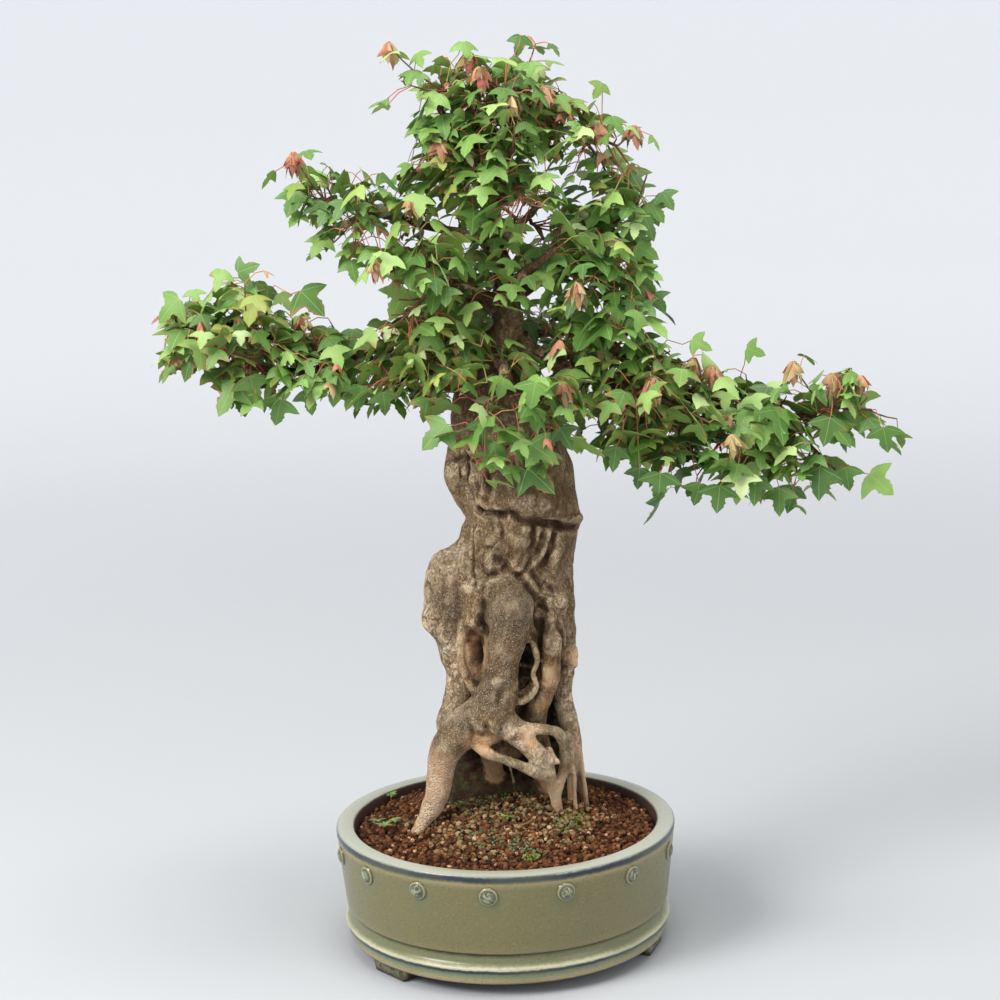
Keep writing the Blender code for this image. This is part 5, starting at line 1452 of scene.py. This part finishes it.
def make_wood(bark):
    """The trunk with its roots as one skin, and the limbs on it, marked for the bark's finish."""
    mesh, limbs = grown_wood()
    cores = core_shares(mesh)
    dark = carve(mesh, cores)
    shut = hollowness(mesh, random.Random(RAY_SEED))
    bm = bmesh.new()
    for name in ("hollow", "crest", "limb", "deep"):
        bm.verts.layers.float.new(name)
    bm.from_mesh(mesh)
    hollow, crest, deep = (bm.verts.layers.float[name] for name in ("hollow", "crest", "deep"))
    for vert, near, fall, proud, core in zip(bm.verts, shut, dark, crests(bm), cores):
        # painted shade: darker where wood shuts a vertex in, and in creases and small pits
        vert[hollow] = min(1.0, max(0.0, (near - HOLLOW_FROM) * HOLLOW_GAIN) + fall * CREASE_SHADE)
        vert[crest] = proud
        # the shut-in mass gets painted shade in the bark's finish
        vert[deep] = core
    boughs = tubes(limbs, LIMB_SIDES)
    paint_vertices(boughs, "limb", [1.0] * len(boughs.vertices))
    bm.from_mesh(boughs)
    mesh = mesh_of(bm, "old_wood")
    points = [vert.co / MM for vert in mesh.vertices]
    for name, spots in ZONES.items():
        paint_vertices(mesh, name, [zone_share(point, spots) for point in points])
    tree = mesh_tree(mesh)
    finished("old_wood", mesh, ["trunk"], [bark], 50.0)
    return tree


def samples_of(routes):
    """Every route as closely spaced points with radii, for finding seats and keeping clear."""
    return {name: smooth_route(route, SAMPLE_SPANS) for name, route in routes.items()}


def spray_targets(pad, chance):
    """Evenly spread points in a foliage pad, which its sprays grow to."""
    _, middle, half, count, *_ = pad
    targets = []
    for i in range(count):
        level = 1 - 2 * (i + 0.5) / count
        reach = math.sqrt(1 - level**2)
        angle = GOLDEN_TURN * i + middle[0]
        spot = Vector((math.cos(angle) * reach, math.sin(angle) * reach, level))
        jitter = Vector([chance.uniform(-1, 1) for _ in range(3)]) * TARGET_JITTER
        targets.append(Vector([m + h * s * TARGET_DEPTH for m, h, s in zip(middle, half, spot)]) + jitter)
    return [target * MM for target in targets]


def find_seat(target, carriers, limbs, taken):
    """The place on a limb that a spray best leaves from: near its target, and free."""
    best = None
    for name in carriers:
        samples = limbs[name]
        for i in range(FIRST_SEAT, len(samples) - 1):
            place = samples[i].to_3d()
            if any((place - other).length < SEAT_SPACING * MM for other in taken):
                continue
            along = (samples[i + 1].to_3d() - samples[i - 1].to_3d()).normalized()
            cost = (place - target).length - SEAT_REACH * (target - place).dot(along)
            if best is None or cost < best[0]:
                best = (cost, place, along)
    return best[1:]


def twig_route(seat, normal, target, chance):
    """A twig that leaves its limb square, arches a little and ends at its target."""
    span = (target - seat).length
    bend = seat + normal * span * TWIG_BEND + UP * span * TWIG_ARCH
    bend += Vector([chance.uniform(-TWIG_WANDER, TWIG_WANDER) * span for _ in range(3)])
    points = [seat + normal * GAP * MM, seat + normal * TWIG_HEEL * MM]
    for i in range(1, TWIG_POINTS - 1):
        t = i / (TWIG_POINTS - 2)
        points.append(bent(points[1], bend, target, t))
    return points


def with_radii(points, first, last):
    """Points with radii in metres, from the first to the last in millimetres."""
    drop = (first - last) / (len(points) - 1)
    return [Vector((*point, (first - drop * i) * MM)) for i, point in enumerate(points)]


def dense(points, step):
    """Points every step or so along a chain of straight runs."""
    out = []
    for a, b in zip(points, points[1:]):
        count = max(1, math.ceil((b - a).length / step))
        out += [a.lerp(b, i / count) for i in range(count)]
    return [*out, points[-1]]


def keeps_clear(points, obstacles, seat):
    """Whether a twig stays clear of the wood and of every other twig, apart from where it sits."""
    for point in dense(points, TWIG_STEP * MM):
        if (point - seat).length < NEAR_SEAT * MM:
            continue
        for place, radius in obstacles:
            if (point - place).length < radius + (TWIG_RADIUS + TWIG_CLEARANCE) * MM:
                return False
    return True


def grow_twig(target, seat_place, standing, obstacles, chance):
    """The route of a twig from a limb to its target or close by it, clear of all that stands."""
    place, along = seat_place
    for attempt in range(TWIG_TRIES):
        wander = Vector([chance.uniform(-1, 1) for _ in range(3)]) * attempt * AIM_WANDER * MM
        away = target + wander - place
        away -= along * away.dot(along)
        seat, normal, _, _ = standing[0].ray_cast(place, away.normalized())
        if seat is None:
            continue
        route = twig_route(seat, normal, target + wander, chance)
        if not keeps_clear(route, obstacles, seat):
            continue
        radii = with_radii(route, TWIG_RADIUS, TWIG_TIP_RADIUS)
        tree = mesh_tree(tubes([(radii, 0)], TWIG_SIDES))
        if not any(tree.overlap(other) for other in standing):
            standing.append(tree)
            return route
    return None


def grow_twigs():
    """Each spray's name, the route of its twig and its pad, as the solids have them."""
    limbs = samples_of(LIMBS)
    wood = [*limbs.values(), *samples_of({"heart": HEART, **SWELLINGS}).values()]
    obstacles = [(point.to_3d(), point.w) for samples in wood for point in samples]
    chance = random.Random(SPRAY_SEED)
    standing = [mesh_tree(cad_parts["trunk"].data, STAND)]
    taken = []
    sprays = []
    for pad in PADS:
        for number, target in enumerate(spray_targets(pad, chance)):
            seat_place = find_seat(target, pad[5], limbs, taken)
            route = grow_twig(target, seat_place, standing, obstacles, chance)
            if route is None:
                continue
            taken.append(seat_place[0])
            obstacles += [(point, TWIG_RADIUS * MM) for point in dense(route, TWIG_STEP * MM)]
            sprays.append((f"spray_{pad[0]}_{number}", route, pad))
    return sprays


def leaf_template(name, width, droop, fold, side_drop, twist):
    """A three-lobed blade, one unit long: +Y to its tip and +Z its face, folded at its veins."""
    bm = bmesh.new()
    bm.faces.new([bm.verts.new((across * width, along, 0.0)) for across, along in HALF_LEAF])
    edge = bm.verts.layers.float.new("edge")
    for vert in bm.verts:
        vert[edge] = 1.0 if vert.co.x > 0.0 and vert.co.y > 0.05 else 0.0
    bmesh.ops.mirror(bm, geom=[*bm.verts, *bm.edges, *bm.faces], axis="X", merge_dist=1e-5)
    for (x, y), (across, along) in LEAF_CUTS:
        bmesh.ops.bisect_plane(
            bm, geom=[*bm.verts, *bm.edges, *bm.faces], plane_co=(x * width, y, 0.0),
            plane_no=(across, along * width, 0.0), dist=0.004,
        )
    for layer in ("tone", "yellow", "bronze", "under"):
        bm.verts.layers.float.new(layer)
    sheet = list(bm.faces)
    grown = bmesh.ops.extrude_face_region(bm, geom=sheet, use_keep_orig=True)
    under = bm.verts.layers.float["under"]
    for item in grown["geom"]:
        if isinstance(item, bmesh.types.BMVert):
            item.co.z -= LEAF_THICKNESS
            item[under] = 1.0
    bmesh.ops.triangulate(bm, faces=[face for face in bm.faces if len(face.verts) > 4])
    bmesh.ops.recalc_face_normals(bm, faces=bm.faces)
    uv = bm.loops.layers.uv.new("blade")
    for face in bm.faces:
        for loop in face.loops:
            loop[uv].uv = (loop.vert.co.x / width, loop.vert.co.y)
    for vert in bm.verts:
        x, y, z = vert.co
        out = abs(x)
        vein = abs(out * SIDE_VEIN.y - y * SIDE_VEIN.x)
        rise = fold * min(out, 0.12 + 0.3 * out) - side_drop * out**1.6 * 1.4 - droop * y * abs(y) * 0.6
        rise -= fold * max(0.0, 0.1 - vein) * (1.0 if out > 0.12 else 0.0)
        vert.co.z = z + rise + twist * x * y
    return mesh_of(bm, name)


def leaf_templates(chance):
    """The green blades and the folded bronze ones, no two alike."""
    kinds = []
    for kind, (count, *ranges) in LEAF_FORMS.items():
        shapes = []
        for number in range(count):
            bends = [chance.uniform(*limits) for limits in ranges]
            shapes.append(leaf_template(f"{kind}_{number}", *bends))
        kinds.append(shapes)
    for shape in (*kinds[0], *kinds[1]):
        for polygon in shape.polygons:
            polygon.material_index = LEAF
    return kinds


def place_on(route, share):
    """The point at a share of a route's length, and the route's direction there."""
    left = share * sum((b - a).length for a, b in zip(route, route[1:]))
    for a, b in zip(route, route[1:]):
        run = (b - a).length
        if left <= run:
            break
        left -= run
    return a.lerp(b, min(1.0, left / run)), (b - a).normalized()


def stalk_through(*points, radius=STALK_RADIUS):
    """A leaf stalk of one radius through points."""
    return [Vector((*point, radius * MM)) for point in points]


def bent(first, bend, last, t):
    """The point at t on a curve from first to last that bend pulls aside."""
    return first * (1 - t) ** 2 + bend * 2 * t * (1 - t) + last * t**2


def nearest_to(target, points):
    return min(points, key=lambda point: (point - target).length)


def blade_frame(origin, forward, facing, size):
    """The matrix of a blade at origin whose tip points forward and whose face looks towards facing."""
    across = forward.cross(facing).normalized()
    face = across.cross(forward).normalized()
    turn = Matrix((across, forward, face)).transposed().to_4x4()
    return Matrix.Translation(origin) @ turn @ Matrix.Scale(size, 4)


def in_canopy(tip):
    """Whether a leaf's tip lies in a pad or in the leaves between the pads, which have ragged edges."""
    spot = tip / MM + UP * CANOPY_HANG
    room = (CANOPY_ROOM + CANOPY_RAGGED * noise.noise(spot / 22)) ** 2
    if noise.noise(Vector((spot.x, 40.0, spot.z)) / OPEN_SIZE) > OPEN_ABOVE:
        return False
    for middle, half in (*((pad[1], pad[2]) for pad in PADS), *FILLED):
        if sum(((part - m) / h) ** 2 for part, m, h in zip(spot, middle, half)) < room:
            return True
    return False


def is_open(point):
    """Whether a place lies in one of the openings among the leaves, seen from the front."""
    x, _, z = point / MM
    return any(math.hypot(x - middle_x, z - middle_z) < reach for middle_x, middle_z, reach in OPENINGS)


def cell_of(point):
    return tuple(math.floor(part / MM / CELL) for part in point)


def is_crowded(centre, blades):
    """Whether a blade's middle is too close to another's."""
    x, y, z = cell_of(centre)
    for i, j, k in product((-1, 0, 1), repeat=3):
        for other, room in blades.get((x + i, y + j, z + k), ()):
            if (centre - other).length < room:
                return True
    return False


def leaf_on(spot, along, turn, size, middle, inside, blades, chance):
    """A leaf's stalk and the frame of its blade, in the canopy and clear of the other blades."""
    for attempt in range(BLADE_TRIES):
        swing = turn + chance.uniform(-0.3, 0.3) * (1 + attempt)
        side = along.orthogonal().normalized()
        across = side * math.cos(swing) + along.cross(side) * math.sin(swing)
        stalk = across + along * chance.uniform(*STALK_FORWARD) + UP * chance.uniform(*STALK_RISE)
        stalk.normalize()
        length = chance.uniform(*STALK_LENGTH) * MM
        origin = spot + stalk * length - UP * length * STALK_SAG
        level = Vector((stalk.x + (origin.x - middle.x) * 6, stalk.y + (origin.y - middle.y) * 6, 0.0))
        forward = (level.normalized() - UP * chance.uniform(*BLADE_DROP)).normalized()
        centre = origin + forward * size * 0.5
        tip = origin + forward * size
        if not inside(tip) or is_open(centre) or is_crowded(centre, blades):
            continue
        outward = level.normalized() * BLADE_OUTWARD
        wander = Vector([chance.uniform(-BLADE_WANDER, BLADE_WANDER) for _ in range(3)])
        blades.setdefault(cell_of(centre), []).append((centre, size * BLADE_ROOM))
        run = stalk_through(spot, spot + stalk * length * 0.55, origin + forward * 0.01 * size)
        return run, blade_frame(origin, forward, UP + outward + wander, size)
    return None


def shoot_heading(spot, along, number, middle, chance):
    """The direction of a side shoot: round its stem from the one before it, and out of the canopy."""
    side = along.orthogonal().normalized()
    turn = GOLDEN_TURN * number + chance.uniform(-0.4, 0.4)
    across = side * math.cos(turn) + along.cross(side) * math.sin(turn)
    outward = (spot - middle).normalized() * SHOOT_OUTWARD
    return (across + along * chance.uniform(*SHOOT_FORWARD) + outward).normalized()


def shoot_route(start, heading, length, chance):
    lift = UP * length * chance.uniform(*SHOOT_LIFT)
    sway = heading.orthogonal().normalized() * length * chance.uniform(-SHOOT_SWAY, SHOOT_SWAY)
    return [start + heading * length * t + (lift + sway) * t * t for t in (0.0, 0.35, 0.7, 1.0)]


def dressed(stem, shares, blade, middle, inside, blades, chance):
    """The leaves on a stem, in pairs turned crosswise: each one's share of the stem, stalk and frame."""
    first = chance.uniform(0, math.tau)
    leaves = []
    for pair, share in enumerate(shares):
        spot, along = place_on(stem, share)
        size = blade * chance.triangular(*BLADE_SIZE) * (TIP_BLADE if share == 1.0 else 1.0) * MM
        for side in (0, 1):
            turn = first + math.pi / 2 * pair + math.pi * side
            leaf = leaf_on(spot, along, turn, size, middle, inside, blades, chance)
            if leaf:
                leaves.append((share, *leaf))
    return leaves


def leafy_shoot(stem, runs, leaves, *rules):
    """Adds a shoot, cut back to its last leaves. One that bears no leaf isn't grown."""
    borne = dressed(stem, PAIRS, *rules)
    if borne:
        last = max(share for share, *_ in borne)
        kept = [place_on(stem, last * i / 3)[0] for i in range(4)]
        runs.append((with_radii(kept, SHOOT_RADIUS, SHOOT_TIP_RADIUS), TWIG))
        leaves += borne


def leaf_values(share, chance):
    """The colours of one leaf, and whether it is a young bronze one."""
    young = share == FOLDED or share == 1.0 and chance.random() < BRONZE_SHARE
    values = {
        "tone": chance.betavariate(*TONE_SPREAD) * (TONE_OF_OLD + TONE_OF_NEW * share),
        "yellow": chance.random() * YELLOWEST if chance.random() < YELLOW_SHARE else 0.0,
        "bronze": chance.uniform(0.4, 1.0) if young else 0.0,
    }
    return young, values


def leafy_piece(name, nodes, runs, leaves, templates, materials, chance):
    """Stems, stalks and leaves as one piece. A leaf is its share of its stem, its stalk and its frame."""
    bm = bmesh.new()
    for layer in ("tone", "yellow", "bronze", "under", "edge"):
        bm.verts.layers.float.new(layer)
    bm.loops.layers.uv.new("blade")
    bm.from_mesh(tubes(runs, SHOOT_SIDES, materials))
    bm.from_mesh(tubes([(stalk, STALK) for _, stalk, _ in leaves], STALK_SIDES, materials))
    for share, _, place in leaves:
        young, values = leaf_values(share, chance)
        shape = chance.choice(templates[1] if young else templates[0])
        for layer, value in values.items():
            shape.attributes[layer].data.foreach_set("value", [value] * len(shape.vertices))
        add_copy(bm, shape, place)
    return finished(name, mesh_of(bm, name), nodes, materials, 45.0)


def make_spray(name, route, pad, templates, materials, blades, chance):
    """One twig with its side shoots, and every leaf on them, as one piece."""
    curve = [route[0], *smooth_route([point / MM for point in route[1:]], 3)]
    middle = Vector(pad[1]) * MM
    rules = (pad[4], middle, in_canopy, blades, chance)
    runs = [(with_radii(curve, TWIG_RADIUS, TWIG_TIP_RADIUS), TWIG)]
    leaves = dressed(curve, (0.8, 1.0), *rules)
    for number in range(SHOOTS):
        share = FIRST_SHOOT + (1 - FIRST_SHOOT) * (number + 0.5) / SHOOTS
        spot, along = place_on(curve, share)
        heading = shoot_heading(spot, along, number, middle, chance)
        length = chance.uniform(*SHOOT_LENGTH) * MM
        leafy_shoot(shoot_route(spot, heading, length, chance), runs, leaves, *rules)
    title = name.replace("spray", "leaves")
    leafy_piece(title, [name], runs, leaves, templates, materials, chance)
    return curve


def make_spurs(name, route, templates, materials, blades, chance):
    """The short leafy shoots straight off one limb, as one piece."""
    limb = smooth_route(route, LIMB_SPANS)
    spine = [point.to_3d() for point in limb]
    length = sum((b - a).length for a, b in zip(spine, spine[1:]))
    count = int(length * (1 - FIRST_SPUR) / (SPUR_SPACING * MM))
    runs = []
    leaves = []
    for number in range(count + 1):
        share = FIRST_SPUR + (1 - FIRST_SPUR) * number / count
        spot, along = place_on(spine, share)
        heading = shoot_heading(spot, along, number, spot - UP * MM, chance)
        if number == count:
            heading = along
        stem = shoot_route(spot, heading, chance.uniform(*SPUR_LENGTH) * MM, chance)
        leafy_shoot(stem, runs, leaves, SPUR_BLADE, spot, in_canopy, blades, chance)
    if runs:
        title = "spurs_" + name.replace(" ", "_")
        leafy_piece(title, [], runs, leaves, templates, materials, chance)


def bunched(tip, chance):
    """The folded young leaves that hang round a shoot's tip: each one's share, stalk and frame."""
    leaves = []
    for number in range(BUNCH):
        turn = number * GOLDEN_TURN + chance.uniform(-0.3, 0.3)
        out = Vector((math.cos(turn), math.sin(turn), chance.uniform(-0.2, 0.5))).normalized()
        size = chance.uniform(*BUNCH_BLADE) * MM
        origin = tip + (out * 0.12 + UP * 0.08) * size
        forward = (out * 0.5 - UP * chance.uniform(0.6, 1.3)).normalized()
        stalk = stalk_through(tip, tip.lerp(origin, 0.5) + UP * 0.4 * MM, origin)
        leaves.append((FOLDED, stalk, blade_frame(origin, forward, out + UP * 0.3, size)))
    return leaves


def young_shoots(twigs, blades, chance):
    """The bronze and green shoots that stand out of the canopy: their stems and their leaves."""
    runs = []
    leaves = []
    for spots, bronze in ((BRONZE_SHOOTS, True), (GREEN_SHOOTS, False)):
        for spot in spots:
            target = Vector(spot) * MM
            foot = nearest_to(target, twigs)
            bend = foot.lerp(target, 0.5) - UP * (target - foot).length * YOUNG_SAG
            stem = [bent(foot, bend, target, t) for t in (0, 0.25, 0.5, 0.75, 1)]
            runs.append((with_radii(stem, SHOOT_RADIUS, SHOOT_TIP_RADIUS), TWIG))
            shares = (0.5, 0.82) if bronze else (0.45, 0.75, 1.0)
            leaves += dressed(stem, shares, YOUNG_BLADE, foot, lambda tip: True, blades, chance)
            if bronze:
                leaves += bunched(target, chance)
    return runs, leaves


def loose_leaves(twigs, chance):
    """The leaves that stand apart from the rest, each on a long stalk off the nearest twig."""
    leaves = []
    for base, (tip_x, tip_z) in LOOSE_LEAVES:
        origin = Vector(base) * MM
        lean = Vector((tip_x - base[0], chance.uniform(*LOOSE_SWAY), tip_z - base[2])) * MM
        foot = nearest_to(origin, twigs)
        heel = foot.lerp(origin, 0.35) + UP * (origin - foot).length * 0.2
        stalk = stalk_through(foot, heel, foot.lerp(origin, 0.75), origin)
        facing = Vector((chance.uniform(-0.5, 0.5), -1.0, chance.uniform(0.2, 0.9)))
        place = blade_frame(origin, lean.normalized(), facing, lean.length * LOOSE_BLADE)
        leaves.append((0.0, stalk, place))
    return leaves


def make_young(stems, templates, materials, blades, chance):
    """The shoots and leaves that stand out of the canopy, and a broken twig, as one piece."""
    twigs = [point for stem in stems for point in dense(stem, TWIG_STEP * MM)]
    runs, leaves = young_shoots(twigs, blades, chance)
    leaves += loose_leaves(twigs, chance)
    broken = [Vector(spot) * MM for spot in BROKEN_TWIG]
    runs.append((with_radii(broken, TWIG_RADIUS, TWIG_TIP_RADIUS), TWIG))
    hook, tip = (Vector(spot) * MM for spot in DRY_LEAF)
    foot = nearest_to(hook, twigs)
    hang = tip - hook
    place = blade_frame(hook, hang.normalized(), DRY_FACING, hang.length)
    leaves.append((DRY_SHARE, stalk_through(foot, foot.lerp(hook, 0.5), hook), place))
    leafy_piece("young_shoots", [], runs, leaves, templates, materials, chance)


def make_seedlings(templates, materials, chance):
    """Small seedlings that have sprouted in the soil, each a short stem under a tuft of leaves."""
    runs = []
    leaves = []
    for x, y in SEEDLINGS:
        foot = Vector((x, y, soil_height(x, y) - 1.0)) * MM
        top = foot + UP * (SEEDLING_HEIGHT + 1.0) * MM
        runs.append((with_radii([foot, foot.lerp(top, 0.5), top], *SEEDLING_STEM), STALK))
        for number in range(SEEDLING_LEAVES):
            turn = number * GOLDEN_TURN + chance.uniform(-0.3, 0.3)
            out = Vector((math.cos(turn), math.sin(turn), chance.uniform(0.0, 0.5))).normalized()
            origin = top + out * 0.8 * MM
            stalk = stalk_through(top, top.lerp(origin, 0.5), origin, radius=SEEDLING_STALK)
            place = blade_frame(origin, out, UP, chance.uniform(*SEEDLING_LEAF) * MM)
            leaves.append((0.0, stalk, place))
    leafy_piece("seedlings", [], runs, leaves, templates, materials, chance)


def make_foliage(materials):
    chance = random.Random(LEAF_SEED)
    templates = leaf_templates(chance)
    blades = {}
    stems = []
    for name, route, pad in grow_twigs():
        stems.append(make_spray(name, route, pad, templates, materials, blades, chance))
    for name, route in LIMBS.items():
        make_spurs(name, route, templates, materials, blades, chance)
    make_young(stems, templates, materials, blades, chance)
    make_seedlings(templates, materials, chance)


def make_stage(cloth):
    """A pale floor that curves up into a backdrop all round."""
    bm = bmesh.new()
    points = [bm.verts.new((radius, 0.0, height)) for radius, height in STAGE_PROFILE]
    edges = [bm.edges.new(pair) for pair in zip(points, points[1:])]
    bmesh.ops.spin(
        bm, geom=[*points, *edges], cent=(0.0, 0.0, 0.0), axis=(0.0, 0.0, 1.0), angle=2 * math.pi, steps=96,
        use_merge=True,
    )
    bmesh.ops.remove_doubles(bm, verts=bm.verts, dist=1e-5)
    bmesh.ops.recalc_face_normals(bm, faces=bm.faces)
    bmesh.ops.reverse_faces(bm, faces=bm.faces)
    floor = new_object("pale_floor", mesh_of(bm, "pale_floor"), cloth)
    floor.data.shade_smooth()


def softbox(name, place, aim, size, power, colour):
    light = bpy.data.lights.new(name, "AREA")
    light.shape = "DISK"
    light.size = size
    light.energy = power
    light.color = colour
    lamp = new_object(name, light)
    lamp.location = place
    lamp.rotation_mode = "QUATERNION"
    lamp.rotation_quaternion = (Vector(aim) - Vector(place)).to_track_quat("-Z", "Y")


def make_lights():
    for light in SOFTBOXES:
        softbox(*light)
    world = bpy.data.worlds.new("sky")
    bpy.context.scene.world = world
    world.use_nodes = True
    sky = world.node_tree.nodes["Background"]
    sky.inputs["Color"].default_value = (*SKY_COLOUR, 1.0)
    sky.inputs["Strength"].default_value = SKY_STRENGTH


def make_camera():
    data = bpy.data.cameras.new("camera")
    data.sensor_width = SENSOR
    data.lens = SENSOR * FOCAL_PIXELS / PICTURE_PIXELS
    data.clip_start, data.clip_end = CLIPPING
    camera = new_object("camera", data)
    forward = Vector((0.0, math.cos(CAMERA_PITCH), -math.sin(CAMERA_PITCH)))
    right = Vector((1.0, 0.0, 0.0))
    up = right.cross(forward)
    turned_right = right * math.cos(CAMERA_ROLL) + up * math.sin(CAMERA_ROLL)
    turned_up = up * math.cos(CAMERA_ROLL) - right * math.sin(CAMERA_ROLL)
    camera.rotation_mode = "QUATERNION"
    camera.rotation_quaternion = Matrix((turned_right, turned_up, -forward)).transposed().to_quaternion()
    camera.location = Vector(CAMERA_PLACE) * MM + STAND
    bpy.context.scene.camera = camera


def main():
    bpy.context.scene.view_settings.view_transform = "Standard"
    make_camera()
    make_lights()
    make_stage(floor_finish())
    make_pot(glaze_finish())
    make_studs(stud_finish())
    make_feet(foot_finish())
    mesh_plastic = screen_finish()
    for name in ("screen_0", "screen_1"):
        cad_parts[name].data.materials.clear()
        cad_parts[name].data.materials.append(mesh_plastic)
    wood = make_wood(bark_finish())
    make_bed(bed_finish())
    clay = grain_finish("fired clay", *CLAY_TONES)
    make_grains(wood, clay, grain_finish("pale stone", *STONE_TONES), moss_finish())
    make_foliage([twig_finish(), stalk_finish(), leaf_finish()])


main()
